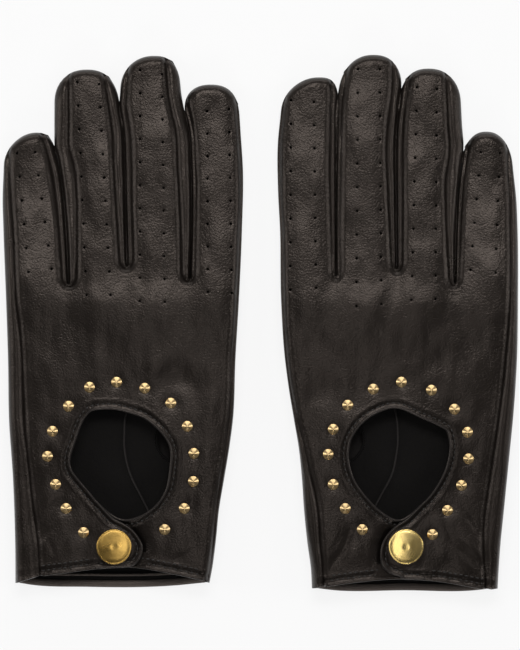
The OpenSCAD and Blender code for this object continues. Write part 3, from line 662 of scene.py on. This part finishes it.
class Glove:
    def __init__(self, side):
        self.side = side
        self.flip = 1 if side == "left" else -1
        lay = self.lay = LAY[side]
        self.little_line, self.index_line = line(lay["little_edge"]), line(lay["index_edge"])
        self.little_in, self.index_in = line(lay["little_seam"]), line(lay["index_seam"])
        self.hem, self.palm_hem = line(lay["hem"]), line(lay["palm_hem"])
        self.shared = [line(g[0]) for g in lay["gaps"]]
        self.long = [line(g[0] + g[1]) for g in lay["gaps"]]
        self.keyhole = rounded(lay["keyhole"], True, EDGE_STEP)
        self.outline_parts()
        self.tab_loop()
        self.stud_points = np.array(lay["studs"])
        self.hole_points = self.perforations()

    # Outlines

    def edge_line(self, k, high):
        """Edge of finger k before its tip closes, as a function of v; the longer finger runs past the gap."""
        if (k, high) == (0, False):
            return self.little_line
        if (k, high) == (3, True):
            return self.index_line
        longer = (k, high) in ((1, False), (2, False), (2, True))
        near = (self.long if longer else self.shared)[k if high else k - 1]
        aside = -GAP / 2 if high else GAP / 2
        return lambda v: near(v) + aside

    def edge(self, k, high, v):
        """Edge of finger k with its rounded tip."""
        tip_u, tip_v = self.lay["tips"][k]
        low_line, high_line = self.edge_line(k, False), self.edge_line(k, True)
        t = unit((v - tip_v + TIP_ROUND) / TIP_ROUND)
        share = (1 - t ** TIP_POWER) ** (1 / TIP_POWER)
        low, up = low_line(v), high_line(v)
        drift = (tip_u - (low_line(tip_v) + high_line(tip_v)) / 2) * t ** 2
        return (low + up) / 2 + drift + (share if high else -share) * (up - low) / 2

    def seam(self, k, high, v):
        """Seam of finger k's back on one side, as u at v."""
        if k == 0 and not high:
            return self.little_line(v) + self.little_in(v)
        if k == 3 and high:
            return self.index_line(v) - self.index_in(v)
        gap = k if high else k - 1
        low, top = self.lay["strips"][gap][0 if high else 1]
        start = self.lay["crotch"][gap]
        width = np.interp(v, [start, start + STRIP_RUN], [low, top])
        return self.edge_line(k, high)(v) + (-width if high else width)

    def junction(self, k, high):
        """Where a seam runs out over the fingertip."""
        tip = self.lay["tips"][k][1]
        v = np.linspace(tip - TIP_ROUND, tip - 0.05, 400)
        inward = (self.edge(k, high, v) - self.seam(k, high, v)) * (1 if high else -1)
        past = np.nonzero(inward < 0.05)[0]
        return float(v[past[0]] if len(past) else v[-1])

    def tip_arc(self, k):
        """Fingertip outline between its two seams, from the index side to the little side."""
        tip = self.lay["tips"][k][1]
        base = tip - TIP_ROUND

        def angle(v):
            return math.asin(min(1, max(0, (v - base) / TIP_ROUND)) ** (TIP_POWER / 2))
        a, b = angle(self.junction(k, True)), angle(self.junction(k, False))
        turn = np.linspace(a, math.pi - b, 22)
        v = base + TIP_ROUND * np.sin(turn) ** (2 / TIP_POWER)
        v[0], v[-1] = self.junction(k, True), self.junction(k, False)
        high = turn <= math.pi / 2
        return cols(np.where(high, self.edge(k, True, v), self.edge(k, False, v)), v)

    def gap_lines(self, k):
        """Seam and edge round the gap between fingers k and k + 1, from finger k down and up again."""
        crotch = self.lay["crotch"][k]
        bottom = crotch + GAP_LIFT
        bend = crotch + GAP_BEND
        seams, edges = [], []
        for finger, high in ((k, True), (k + 1, False)):
            v = np.linspace(self.junction(finger, high), bend, 48)
            seams.append(cols(self.seam(finger, high, v), v))
            edges.append(cols(self.edge(finger, high, v), v))
            edges[-1][0] = seams[-1][0]
        left, right = seams[0][-1], seams[1][-1]
        turn = np.linspace(math.pi, 2 * math.pi, 17)[1:-1]
        middle, half = (left + right) / 2, (right[0] - left[0]) / 2
        u_seam = cols(middle[0] + half * np.cos(turn), bend + (bend - crotch) * np.sin(turn))
        v_edge = bend + (bend - bottom) * np.sin(turn)
        aside = GAP / 2 * np.sign(np.cos(turn)) * np.abs(np.cos(turn)) ** 0.3
        u_edge = cols(self.shared[k](v_edge) + aside, v_edge)
        return stack(seams[0], u_seam, seams[1][::-1]), stack(edges[0], u_edge, edges[1][::-1])

    def outline_parts(self):
        """Seams, silhouette and hems, and the loops of the back and palm that they make."""
        self.gap_seams, self.gap_edges = zip(*[self.gap_lines(k) for k in range(3)])
        self.tips = [self.tip_arc(k) for k in range(4)]
        seams, edges = self.side_seams, self.side_edges = {}, {}
        rows = np.linspace(0, 1, SIDE_ROWS)
        for name, k, high, outer in (("little", 0, False, self.little_line),
                                     ("index", 3, True, self.index_line)):
            top = self.junction(k, high)
            v, w = 5.0, 1.0
            for _ in range(20):
                v = float(self.hem(self.seam(k, high, v)))
                w = float(self.palm_hem(outer(w)))
            v_seam, v_edge = v + (top - v) * rows, w + (top - w) * rows
            seams[name] = cols(self.seam(k, high, v_seam), v_seam)
            edges[name] = cols(self.edge(k, high, v_edge), v_edge)
            edges[name][-1] = seams[name][-1]

        def wrist(sides, hem):
            u = np.arange(sides["little"][0, 0] + EDGE_STEP, sides["index"][0, 0] - 0.5, EDGE_STEP)
            return cols(u, hem(u))

        def loop(gaps, sides, *hem):
            parts = [sides["index"][:-1], self.tips[3]]
            for k in (2, 1, 0):
                parts += [gaps[k][::-1][1:-1], self.tips[k]]
            return stack(*parts, sides["little"][::-1][1:], *hem)
        self.hem_path = wrist(seams, self.hem)
        self.palm_path = wrist(edges, self.palm_hem)
        self.back_loop = loop(self.gap_seams, seams, self.hem_path)
        self.palm_loop = loop(self.gap_edges, edges, self.palm_path)
        below = [np.array([[edges[n][0, 0], BELOW_WRIST]]) for n in ("index", "little")]
        self.rim_path = stack(below[0], loop(self.gap_edges, edges), below[1])
        self.seam_paths = [*self.gap_seams, seams["little"], seams["index"]]
        first = GUSSET_U, float(self.palm_hem(GUSSET_U))
        last = tuple(edges["index"][GUSSET_ROW])
        self.gusset_seam = rounded([first, *self.lay["gusset"], last], False, EDGE_STEP)

    def tab_loop(self):
        """Outline of the wrist tab, from the fold's top round its end to the fold's bottom."""
        near = self.keyhole[(self.keyhole[:, 1] < MID_OPENING) & (self.keyhole[:, 0] < 0)]
        top = near[np.argmin(np.abs(near[:, 0] - FOLD_U))]
        low = self.lay["tab"][-1][0]
        along = np.linspace(low, FOLD_U, 8)[1:]
        hem = cols(along, self.hem(along))
        self.tab_path = rounded([(FOLD_U, top[1]), *self.lay["tab"], *hem], False, 0.8)
        self.tab_path[0, 0] = self.tab_path[-1, 0] = FOLD_U
        fold = np.linspace(self.tab_path[-1, 1], self.tab_path[0, 1], 26)[1:-1]
        self.tab = stack(self.tab_path, cols(np.full(24, FOLD_U), fold))

    def inside_tab(self, depth):
        """Line that runs inside the tab's edge at a depth."""
        for way in (-depth, depth):
            row = self.tab_path + normals_2d(self.tab_path) * way
            if inside(row[8:-8], self.tab).mean() > 0.5:
                return row[inside(row, self.tab)]

    def perforations(self):
        """Pairs of punched holes down the back of each finger."""
        out = []
        for a, b, c, d, count in self.lay["holes"]:
            for start, end in ((a, c), (b, d)):
                for t in np.linspace(0, 1, count):
                    x, y = [p + (q - p) * t for p, q in zip(start, end)]
                    u = self.flip * (x - PHOTO_U0[self.side])
                    out.append((u * PHOTO_SCALE, (PHOTO_V0 - y) * PHOTO_SCALE))
        return np.array(out)

    # Heights

    def levels(self, p):
        """Middle height and half height of the hollow glove."""
        u, v = p.T
        finger = sum((u > self.shared[k](v)).astype(int) for k in range(3))
        tips = np.array([t[1] for t in self.lay["tips"]])[finger]
        start = KNUCKLES + KNUCKLE_STRAY * noise(p, 14, 12)
        s = np.logaddexp(0, (v - start) / SLOPE_SOFT) * SLOPE_SOFT / (tips - TIP_TAPER - KNUCKLES)
        s = 1 - np.logaddexp(0, (1 - s) * TIP_SHARP) / TIP_SHARP
        low = PALM_RISE * unit((v - WRIST_FLAT) / WRIST_RAMP) * (1 - s)
        high = HAND_TOP + (TIP_TOP - HAND_TOP) * s
        return (low + high) / 2, (high - low) / 2

    def rise(self, p, depth=None):
        """Share of the half height at each point, from its distance inside the silhouette."""
        t = unit((distance(p, self.rim_path) if depth is None else depth) / self.rim_size(p))
        return np.sqrt(1 - (1 - t) ** 2)

    def rim_size(self, p):
        """Width of the rolled edge: narrower along the gaps, until they open out towards the fingertips."""
        gaps = np.array([distance(p, path) for path in self.gap_edges])
        tops = np.array([min(path[0, 1], path[-1, 1]) for path in self.gap_seams])
        opened = unit((p[:, 1] - tops[gaps.argmin(0)] + OPENS_BELOW) / OPENS_OVER)
        return np.where(gaps.min(0) < RIM, np.minimum(RIM, GAP_RIM + (RIM - GAP_RIM) * opened), RIM)

    def finger_dome(self, p):
        """Round back of each finger, fading out over the knuckles."""
        u, v = p.T
        out = np.zeros(len(p))
        for k in range(4):
            low, high = self.edge_line(k, False)(v), self.edge_line(k, True)(v)
            x = np.clip((2 * u - low - high) / np.maximum(high - low, 1), -1, 1)
            mine = (u > low) & (u < high)
            out = np.where(mine, FINGER_DOME - 2 * FINGER_DOME * x * x, out)
        out *= unit((v - FINGERS_FROM) / FINGERS_OVER)
        for k in range(4):
            root = (self.edge_line(k, False)(KNUCKLES) + self.edge_line(k, True)(KNUCKLES)) / 2
            x, y = (u - root) / KNUCKLE_WIDTH, (v - KNUCKLES + KNUCKLE_BACK) / KNUCKLE_LENGTH
            out += KNUCKLE_RISE * np.exp(-x ** 2 - y ** 2)
        return out

    def folds(self, p, depth):
        """Soft wrinkles and the creases of worn leather."""
        out = sum(height * noise(p, scale, seed) for height, scale, seed in FOLD_NOISE)
        out *= np.clip(depth / 4, 0.15, 1)
        for start, end, width, depth in self.lay["creases"]:
            path = np.array([start, end], float)
            run = path[1] - path[0]
            t = ((p - path[0]) @ run) / (run @ run)
            bent = p + cols(noise(p, 9, 21), noise(p, 9, 22)) * CREASE_WANDER
            out -= mark(distance(bent, path), depth, width) * unit(1.2 - np.abs(2 * t - 1))
        return out

    def to_edge(self, p):
        """Distance from the opening's edge or the wrist hem."""
        return np.minimum(distance(p, self.keyhole, True), np.abs(p[:, 1] - self.hem(p[:, 0])))

    def top(self, p, tab=False):
        """Height of the outer skin on the back."""
        middle, half = self.levels(p)
        depth = distance(p, self.rim_path)
        shape = self.rise(p, depth)
        z = middle + half * shape + shape * (self.finger_dome(p) + self.folds(p, depth))
        for path in self.seam_paths:
            d = distance(p, path)
            z -= mark(d, *SEAM_GROOVE) - mark(d, *SEAM_SIDE)
            z -= mark(d, *SEAM_PULL) * shape
        sewn = self.to_edge(p)
        d = distance(p, self.tab_path)
        if tab:
            own = unit((p[:, 0] - FOLD_U) / OWN_EDGE)
            z += sewn_edge(sewn) * (1 - own) + sewn_edge(d) * own
            snap = np.hypot(p[:, 0], p[:, 1] - SNAP_V)
            flat = unit((SEAT_RADIUS - snap) / SEAT_BLEND) * unit((p[:, 0] - FOLD_U) / SEAT_BLEND)
            z = z * (1 - flat) + HAND_TOP * flat
        else:
            z += sewn_edge(sewn)
            z -= mark(d, *SLIT_DIP) * unit((p[:, 0] - FOLD_U) / SLIT_BLEND)
        for stud in self.stud_points:
            z -= mark(np.hypot(*(p - stud).T), *STUD_DIP)
        return z

    def bottom(self, p):
        """Height of the outer skin on the palm."""
        middle, half = self.levels(p)
        share = self.rise(p)
        seam = mark(distance(p, self.gusset_seam), *GUSSET_RIB)
        return middle - half * share + share * (PALM_WAVE + PALM_WAVE * noise(p, 15, 33) + seam)

    # Pieces

    def put(self, name, verts, faces, materials, slots=None, body="glove", replaces=()):
        """Makes the piece from points in the glove's frame."""
        world = cols(self.flip * (verts[:, 0] - PITCH / 2), verts[:, 1] - MID_V, verts[:, 2]) * MM
        if self.flip < 0:
            faces = turned(faces)
        mesh = bpy.data.meshes.new(f"{self.side}_{name}")
        mesh.from_pydata(world.tolist(), [], [tuple(int(i) for i in f) for f in faces])
        for m in materials:
            mesh.materials.append(m)
        if slots is not None:
            mesh.polygons.foreach_set("material_index", np.asarray(slots, np.int32))
        mesh.polygons.foreach_set("use_smooth", np.ones(len(faces), bool))
        mesh.update()
        piece = bpy.data.objects.new(f"{self.side}_{name}", mesh)
        bpy.context.scene.collection.objects.link(piece)
        if body:
            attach(piece, f"{self.side}_{body}_body")
        if replaces:
            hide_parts(*[f"{self.side}_{r}" for r in replaces])
        return piece

    def skin(self, name, verts, faces, thickness=LEATHER, outer=None, inner=None, sharp=True, sewn=False,
             **more):
        """A leather panel: grain outside, nap inside, with painted shade along its sewn edges where asked.
        Gives its size too.
        """
        area = area_of(verts, faces)
        v, f, count = thicken(verts, faces, thickness * self.thinning(verts), sharp)
        slots = [0] * (len(f) - count) + [1] * count
        piece = self.put(name, v, f, [outer or HIDE, inner or NAP], slots, **more)
        if sewn:
            # Painted shade near the opening, the wrist hem and the tab's edge, and where the tab's shadow
            # falls on the back.
            near = np.minimum(self.to_edge(v[:, :2]), distance(v[:, :2], self.tab_path))
            marks = piece.data.attributes.new(PAINTED_SHADE_ATTRIBUTE, "FLOAT", "POINT")
            marks.data.foreach_set("value", 1 / (1 + (near / PAINTED_SHADE_REACH) ** 6))
        span = verts.max(0) - verts.min(0)
        return piece, area, span[0], span[1]

    def thinning(self, verts):
        """Share of the leather's thickness: less where a band runs out to a point over a fingertip."""
        ends = [self.gap_seams[k][i] for k in range(3) for i in (0, -1)]
        ends += [self.side_seams[n][-1] for n in ("little", "index")]
        near = np.min([np.hypot(*(verts[:, :2] - e).T) for e in ends], axis=0)
        return np.clip(near / THIN_LENGTH, THINNEST, 1)

    def strip(self, seam, edge, rows=9):
        """Band of leather from a seam over to the silhouette."""
        shares = np.sin(np.linspace(0, 1, rows) * math.pi / 2)
        grid = stack(*[seam + (edge - seam) * x for x in shares])
        z = self.top(grid)
        z[-len(seam):] = self.levels(edge)[0]
        verts, faces = weld(cols(grid, z), grid_faces(rows, len(seam)))
        up = sum(np.cross(verts[f[1]] - verts[f[0]], verts[f[2]] - verts[f[0]])[2] for f in faces)
        return verts, (faces if up > 0 else turned(faces))

    def point(self, u, v, z):
        return Vector((self.flip * (u - PITCH / 2), v - MID_V, z)) * MM


def sheet(piece, area, width, length, held="laid", with_pieces=()):
    """Works out the width a panel's leather was cut to, from its area, in mm; the result is not kept."""
    width *= max(1.0, 1.02 * area / (width * length))


def make_back(g):
    """Back of the hand and fingers, with the opening, the tab's place and the punched holes cut out."""
    rows = inner_rows(g.rim_path, g.back_loop, RIM)
    flat, faces = fill(g.back_loop, [g.keyhole, g.tab], g.hole_points, rows)
    z = g.top(flat)
    for hole in g.hole_points:
        z -= mark(np.hypot(*(flat - hole).T), *HOLE_DIP)
    # The back gets painted shade along its sewn edges.
    return g.skin("back", cols(flat, z), faces, sewn=True, replaces=["back_panel"])


def make_fourchettes(g):
    """Strips between the fingers, cut with pointed ends."""
    for k, gap in enumerate(("little_ring", "ring_middle", "middle_index")):
        name = f"fourchette_{gap}"
        band = g.strip(g.gap_seams[k], g.gap_edges[k])
        piece, area, _, _ = g.skin(f"{name}_strip", *band, replaces=[name])
        run = np.linalg.norm(np.diff(g.gap_seams[k], axis=0), axis=1).sum()
        sheet(piece, area, 2.8 * area / run, run / 2, "folded")


def make_palm(g):
    """Palm with its side bands, and the thumb's own part of it, whose seam stands up inside the glove."""
    seam, end = g.gusset_seam, GUSSET_ROW
    index_seam, index_edge = g.side_seams["index"], g.side_edges["index"]
    at_wrist = g.palm_path[:, 0] > seam[0, 0]
    past_index = g.palm_loop[len(index_edge) - 1:len(g.palm_loop) - len(g.palm_path)]
    palm = stack(index_edge[end:-1], past_index, g.palm_path[~at_wrist], seam[:-1])
    gusset = stack(seam[:-1], index_edge[end::-1], g.palm_path[at_wrist][::-1])
    mouth = np.array(THUMB_MOUTH) + WELT_RADIUS * circle(48)
    palm_bands = [(g.side_seams["little"], g.side_edges["little"]), (index_seam[end:], index_edge[end:])]
    gusset_bands = [(index_seam[:end + 1], index_edge[:end + 1])]
    edge_rows = inner_rows(g.rim_path, g.palm_loop, RIM)
    made = []
    for name, node, loop, cuts, bands in (("palm", "palm_panel", palm, [], palm_bands),
                                          ("gusset", "thumb_gusset", gusset, [mouth], gusset_bands)):
        flat, faces = fill(loop, cuts, extra=edge_rows[inside(edge_rows, loop)], spacing=PALM_SPACING)
        z = g.bottom(flat)
        rim = distance(flat, g.rim_path) < ON_EDGE
        z[rim] = g.levels(flat[rim])[0]
        under = cols(flat, z), turned(faces)
        verts, faces = weld(*merge(under, *[g.strip(*band) for band in bands]))
        made.append(g.skin(f"{name}_leather", verts, faces, replaces=[node]))
    run = seam[4:-6]
    ridge = tube(cols(run, g.bottom(run) + LEATHER + LIP_RISE), LIP_RADIUS, 8, flat=LIP_FLAT)
    lips = g.put("gusset_lips", *ridge, [SEAM_LIP_AND_LIT_LINING])
    sheet(*made[1], with_pieces=[lips])
    return made[0]


def make_binding(g):
    """Rolled binding round the opening, broken where the tab crosses it, and the topstitching."""
    start = int(np.argmin(np.hypot(*(g.keyhole - g.tab_path[0]).T)))
    path = np.roll(g.keyhole, -start, 0)
    if path[12, 1] < path[0, 1]:
        path = stack(path[:1], path[1:][::-1])
    covered = inside(path, g.tab)
    last = len(path) - 1
    while not covered[last] and path[last, 0] < TAB_SIDE[0] and path[last, 1] < TAB_SIDE[1]:
        last -= 1
    path = stack(g.tab_path[3:0:-1], path[:last + 1])
    roll = tube(cols(path, g.top(path) - ROLL_SINK / 2), ROLL, ROLL_SIDES)
    binding = g.put("binding_roll", *roll, [EDGE], replaces=["keyhole_binding"])
    beside = normals_2d(path) * STITCH_IN
    row = path - beside
    if inside(row, g.keyhole).mean() > 0.5:
        row = path + beside
    rows = [row[~inside(row, g.tab)]]
    for depth in (STITCH_IN, STITCH_IN + 2):
        row = g.hem_path + np.array([0, depth])
        row = row[~inside(row, g.tab)]
        gap = np.nonzero(np.hypot(*np.diff(row, axis=0).T) > 3)[0]
        rows += [part for part in np.split(row, gap + 1) if len(part) > 6]
    sewn = merge(*[stitches(cols(row, g.top(row) + STITCH_RISE)) for row in rows])
    return [binding, g.put("stitching", *sewn, [THREAD])]


def make_tab(g):
    """Wrist tab with its rolled edge and stitching, and the facing under it."""
    flat, faces = fill(g.tab, spacing=TAB_SPACING)
    panel = cols(flat, g.top(flat, True))
    # The tab gets painted shade along its edges.
    tab, area, width, length = g.skin("tab_leather", panel, faces, sewn=True, body=None,
                                      replaces=["wrist_tab"])
    path, row = g.tab_path, g.inside_tab(STITCH_IN)
    roll = tube(cols(path, g.top(path, True) - ROLL_SINK), ROLL, ROLL_SIDES)
    edging = g.put("tab_edging", *roll, [EDGE], body=None)
    sewn = stitches(cols(row, g.top(row, True) + STITCH_RISE))
    sewing = g.put("tab_stitching", *sewn, [THREAD], body=None)
    start, end = [g.point(u, SNAP_V, HAND_TOP) for u in (FOLD_U, FOLD_U + FOLD_LENGTH)]
    for piece in (tab, edging, sewing):
        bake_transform(piece)
    sheet(tab, area, width, length, with_pieces=[edging, sewing])
    row = g.inside_tab(FACING_IN)
    flat, faces = fill(resample(row[row[:, 0] > FOLD_U + FACING], TAB_SPACING, True), spacing=TAB_SPACING)
    under = cols(flat, g.top(flat, True) - LEATHER - FACING - 0.05)
    # The facing takes the lightened turned leather, painted light.
    sheet(*g.skin("facing_leather", under, turned(faces), FACING, outer=LIT_TURNED_LEATHER, body="tab",
                  replaces=["tab_facing"]))


def make_underlap(g):
    """Tongue that carries the lower half of the snap: a round end, then a slope up to the back's leather."""
    rows, columns = 40, 13
    reach = np.linspace(-UNDERLAP_HALF, UNDERLAP_END, rows)
    rise = UNDERLAP_TOP - LEATHER - UNDERLAP_LOW
    level = UNDERLAP_LOW + LEATHER + rise * unit((reach - SLOPE_START) / SLOPE)
    end = np.sqrt(np.maximum(UNDERLAP_HALF ** 2 - reach ** 2, 0.3))
    half = np.where(reach < 0, end, UNDERLAP_HALF) * np.clip(1 - (reach - 2) / 40, 0.71, 1)
    across = np.linspace(-1, 1, columns)
    grid = stack(*[cols(np.full(columns, u), SNAP_V + h * across, np.full(columns, z))
                   for u, h, z in zip(reach, half, level)])
    sheet(*g.skin("underlap_leather", grid, turned(grid_faces(rows, columns)), replaces=["underlap"]))


def make_hems(g):
    """Turned hems: the back's edge roll and strip, and the palm's hem, which shows in the wrist's mouth."""
    under_tab = np.nonzero(inside(g.hem_path + np.array([0, 0.6]), g.tab))[0]
    pieces = []
    for part in (g.hem_path[:under_tab[0] + 3], g.hem_path[under_tab[-1] - 1:]):
        if len(part) > 3:
            height = g.top(part)
            pieces.append(tube(cols(part, height - ROLL_SINK), ROLL, ROLL_SIDES))
            grid = stack(*[cols(part[:, 0], part[:, 1] + d, height - LEATHER - 0.1)
                           for d in np.linspace(0, BACK_HEM, 5)])
            pieces.append(thicken(grid, turned(grid_faces(5, len(part))), HEM_LEATHER)[:2])
    back = g.put("back_hem_roll", *merge(*pieces), [HIDE], replaces=["back_hem"])
    path = g.palm_path
    fold = path + np.array([0, PALM_ROLL_IN])
    roll = tube(cols(fold, g.bottom(fold) + PALM_ROLL_UP), PALM_ROLL, 14, flat=0.75)
    rows = []
    for d in np.linspace(0.5, PALM_HEM, 7):
        row = path + np.array([0, d])
        height = g.bottom(row) + LEATHER + 0.65 + 0.15 * noise(row, 4, 31)
        rows.append(cols(path[:, 0] * (1 - 0.004 * d), row[:, 1], height))
    band = thicken(stack(*rows), grid_faces(len(rows), len(path)), HEM_LEATHER + 0.05)[:2]
    ridge = path[3:-3] + np.array([0, PALM_HEM - 0.5])
    lip = tube(cols(ridge, g.bottom(ridge) + LEATHER + 0.9), 0.5, 8)
    slots = [0] * (len(roll[1]) + len(lip[1])) + [1] * len(band[1])
    # The palm hem's roll and lip take the lightened turned leather, painted light in the wrist's shade.
    palm = g.put("palm_hem_roll", *merge(roll, lip, band), [LIT_TURNED_LEATHER, NAP], slots, replaces=["palm_hem"])
    return back, palm


def make_thumb(g):
    """Thumb folded flat under the palm, with its mouth in its upper wall, and the welt round the mouth."""
    tuck = math.radians(THUMB_TUCK)
    axis = np.array([-math.sin(tuck), math.cos(tuck)])
    cross = np.array([math.cos(tuck), math.sin(tuck)])
    reach = np.linspace(-THUMB_HEEL, THUMB_LENGTH, 90)
    heel = unit((reach + THUMB_HEEL) / HEEL_ROUND)
    tip = unit((reach - THUMB_LENGTH + THUMB_TIP) / THUMB_TIP)
    wide = THUMB_HALF - THUMB_NARROWS * unit((reach + 4) / (THUMB_LENGTH + THUMB_HEEL)) ** 1.6
    wide = wide * np.sqrt(1 - (1 - heel) ** 2) * np.sqrt(1 - tip ** 2)
    spine = np.array(THUMB_MOUTH) + axis * reach[:, None]
    sides = stack(spine + cross * wide[:, None], (spine - cross * wide[:, None])[-2:0:-1])
    outline = resample(sides, 0.9, True)
    rows = inner_rows(outline, outline, THUMB_ROLL, True)
    ring = circle(60)
    mouth = np.array(THUMB_MOUTH) + (WELT_RADIUS - LEATHER) * ring
    walls = []
    for cuts, up in (([mouth], 1), ([], -1)):
        flat, faces = fill(outline, cuts, extra=rows)
        d = distance(flat, outline, True)
        share = np.sqrt(1 - (1 - unit(d / THUMB_ROLL)) ** 2)
        height = share * (THUMB_TOP / 2 - 0.08 + 0.06 * noise(flat, 6, 41)) - mark(d, *THUMB_GROOVE)
        z = THUMB_TOP / 2 + up * np.where(d < ON_EDGE, 0, height)
        walls.append((cols(flat, z), faces if up > 0 else turned(faces)))
    # Painted light: the thumb's lining takes the lighter seam-lip suede, which lightens the shade inside the
    # thumb's mouth.
    thumb, area, _, _ = g.skin("thumb_leather", *weld(*merge(*walls)), inner=SEAM_LIP_AND_LIT_LINING, sharp=False, body="thumb",
                              replaces=["thumb"])
    cord = cols(np.array(THUMB_MOUTH) + (WELT_RADIUS - 0.5) * ring, np.full(len(ring), WELT_LEVEL))
    welt = g.put("welt_cord", *tube(cord, WELT_CORD, closed=True), [NAP], body="thumb",
                 replaces=["thumb_welt"])
    sheet(thumb, area, 4 * THUMB_HALF, THUMB_LENGTH + THUMB_HEEL, "folded", [welt])


def make_studs(g):
    """Cone studs and the washers that they are set on inside."""
    base, top = STUD_RADIUS - 0.1, STUD_HEIGHT
    cone = [(1.3, 0), (base, 0), (STUD_RADIUS, 0.12), (STUD_RADIUS, 0.42), (base, 0.56), (base, 0.56),
            (0.3, top - 0.4), (0.12, top - 0.3), (0, top - 0.28)]
    spots = g.stud_points
    seats = cols(spots, g.top(spots))
    for name, node, profile, sides, sink, metal in (
            ("studs", "cone_studs", cone, 32, 0.1, STUD_METAL),
            ("washers", "stud_washers", WASHER, 24, LEATHER + 0.35, SNAP_METAL)):
        verts, faces = lathe(profile, sides)
        each = [(verts + seat - np.array([0, 0, sink]), faces) for seat in seats]
        g.put(name, *merge(*each), [metal], replaces=[node])


def make_cap(g):
    """Snap cap: a spun dome with a rim and a centre dimple, on its own origin for the spun finish."""
    dome = [(0, -0.05), (0.9, -0.045), (1.3, -0.012), (1.7, 0), (3.2, -0.12), (4.8, -0.26), (6.1, -0.38),
            (6.3, -0.44), (6.45, -0.46), (6.65, -0.42), (6.88, -0.5), (CAP_RADIUS, -0.8)]
    profile = [(r, CAP_RISE + z) for r, z in dome] + [(CAP_RADIUS, 0.16), (6.8, 0), (2, 0)]
    verts, faces = lathe(profile[::-1], 96)
    seat = np.array([0, SNAP_V, HAND_TOP + 0.05])
    cap = g.put("cap_dome", verts + seat, faces, [CAP_BRASS_SHADED_AND_LIT[g.side]], body=None)
    spot = g.point(0, SNAP_V, HAND_TOP)
    for vertex in cap.data.vertices:
        vertex.co -= spot
    cap.location = spot
    bpy.context.view_layer.update()
    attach(cap, f"{g.side}_tab_body")
    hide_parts(f"{g.side}_snap_cap")


def build(side):
    g = Glove(side)
    back = make_back(g)
    make_fourchettes(g)
    palm = make_palm(g)
    sewn = make_binding(g)
    make_tab(g)
    make_underlap(g)
    back_hem, palm_hem = make_hems(g)
    sheet(*back, with_pieces=[*sewn, back_hem])
    sheet(*palm, with_pieces=[palm_hem])
    make_thumb(g)
    make_studs(g)
    make_cap(g)
    for name in ("snap_socket", "snap_spring", "snap_stud", "snap_post"):
        node = bpy.data.objects[f"{side}_{name}"]
        node.data.materials.clear()
        node.data.materials.append(SNAP_METAL)


for side in ("left", "right"):
    build(side)

# Floor, light and camera
FLOOR_HALF, FLOOR_DROP = 3, 0.0002
FLOOR_GREY, FLOOR_GLOW = 0.9, 0.84
HORIZON, ZENITH = 0.3, 0.08
DIM_SIDE, BRIGHT_SIDE = 0.3, 1.7
material, tree, plain = shader("floor")
join(tree, plain, {"Base Color": (FLOOR_GREY, FLOOR_GREY, FLOOR_GREY, 1), "Roughness": 0.9})
path = add(tree, "LightPath", {})
seen = path, "Is Camera Ray"
for ray in ("Is Glossy Ray", "Is Transmission Ray"):
    seen = add(tree, "Math", {0: seen, 1: (path, ray)}, operation="MAXIMUM"), 0
white = add(tree, "Math", {0: seen, 1: FLOOR_GLOW}, operation="MULTIPLY"), 0
glow = add(tree, "Emission", {}), "Emission"
both = add(tree, "MixShader", {0: white, 1: (plain, "BSDF"), 2: glow}), "Shader"
join(tree, tree.nodes["Material Output"], {"Surface": both})
mesh = bpy.data.meshes.new("floor")
corners = [(x * FLOOR_HALF, y * FLOOR_HALF, 0) for x, y in ((-1, -1), (1, -1), (1, 1), (-1, 1))]
mesh.from_pydata(corners, [], [(0, 1, 2, 3)])
mesh.materials.append(material)
floor = bpy.data.objects.new("floor", mesh)
floor.location.z = -FLOOR_DROP
bpy.context.scene.collection.objects.link(floor)

world = bpy.data.worlds.new("studio")
bpy.context.scene.world = world
world.use_nodes = True
tree = world.node_tree
parts = add(tree, "SeparateXYZ", {"Vector": (add(tree, "TexCoord", {}), "Generated")})
level = add(tree, "Math", {0: ramp(tree, (parts, "Z"), HORIZON, ZENITH),
                           1: ramp(tree, (parts, "Y"), DIM_SIDE, BRIGHT_SIDE, (-1, 1))}, operation="MULTIPLY")
join(tree, tree.nodes["Background"], {"Strength": (level, 0), "Color": (1, 1, 1, 1)})


def lamp(name, spot, aim, width, height, power):
    """Area lamp that lights the part and isn't seen itself."""
    data = bpy.data.lights.new(name, "AREA")
    data.shape, data.size, data.size_y, data.energy = "RECTANGLE", width, height, power
    lit = bpy.data.objects.new(name, data)
    lit.location = spot
    lit.rotation_euler = (Vector(aim) - Vector(spot)).to_track_quat("-Z", "Y").to_euler()
    lit.visible_camera = False
    bpy.context.scene.collection.objects.link(lit)


lamp("key", (0, 0.5, 1.0), (0, 0, 0), 0.7, 0.3, 5.3)
lamp("low_key", (0, 1.2, 0.2), (0, 0, 0), 1.6, 0.36, 4)
lamp("middle", (0, -0.09, 0.5), (0, -0.09, 0), 0.08, 0.3, 0.19)
lamp("front", (0, -0.9, 0.5), (0, 0, 0), 0.6, 0.16, 2)
for name, x in (("left_fill", -0.9), ("right_fill", 0.9)):
    lamp(name, (x, 0.1, 0.45), (0, 0, 0), 0.3, 0.8, 2.3)

SENSOR = 36
CAMERA_HEIGHT, VIEW_HEIGHT, VIEW_Y, VIEW_Z = 1.6, 0.26, -0.00094, 0.009
shot = bpy.data.cameras.new("camera")
shot.sensor_width = SENSOR
shot.lens = SENSOR * (CAMERA_HEIGHT - VIEW_Z) / VIEW_HEIGHT
shot.clip_start, shot.clip_end = 0.1, 10
camera = bpy.data.objects.new("camera", shot)
camera.location = (0, VIEW_Y, CAMERA_HEIGHT)
bpy.context.scene.collection.objects.link(camera)
bpy.context.scene.camera = camera
bpy.context.scene.view_settings.view_transform = "Standard"
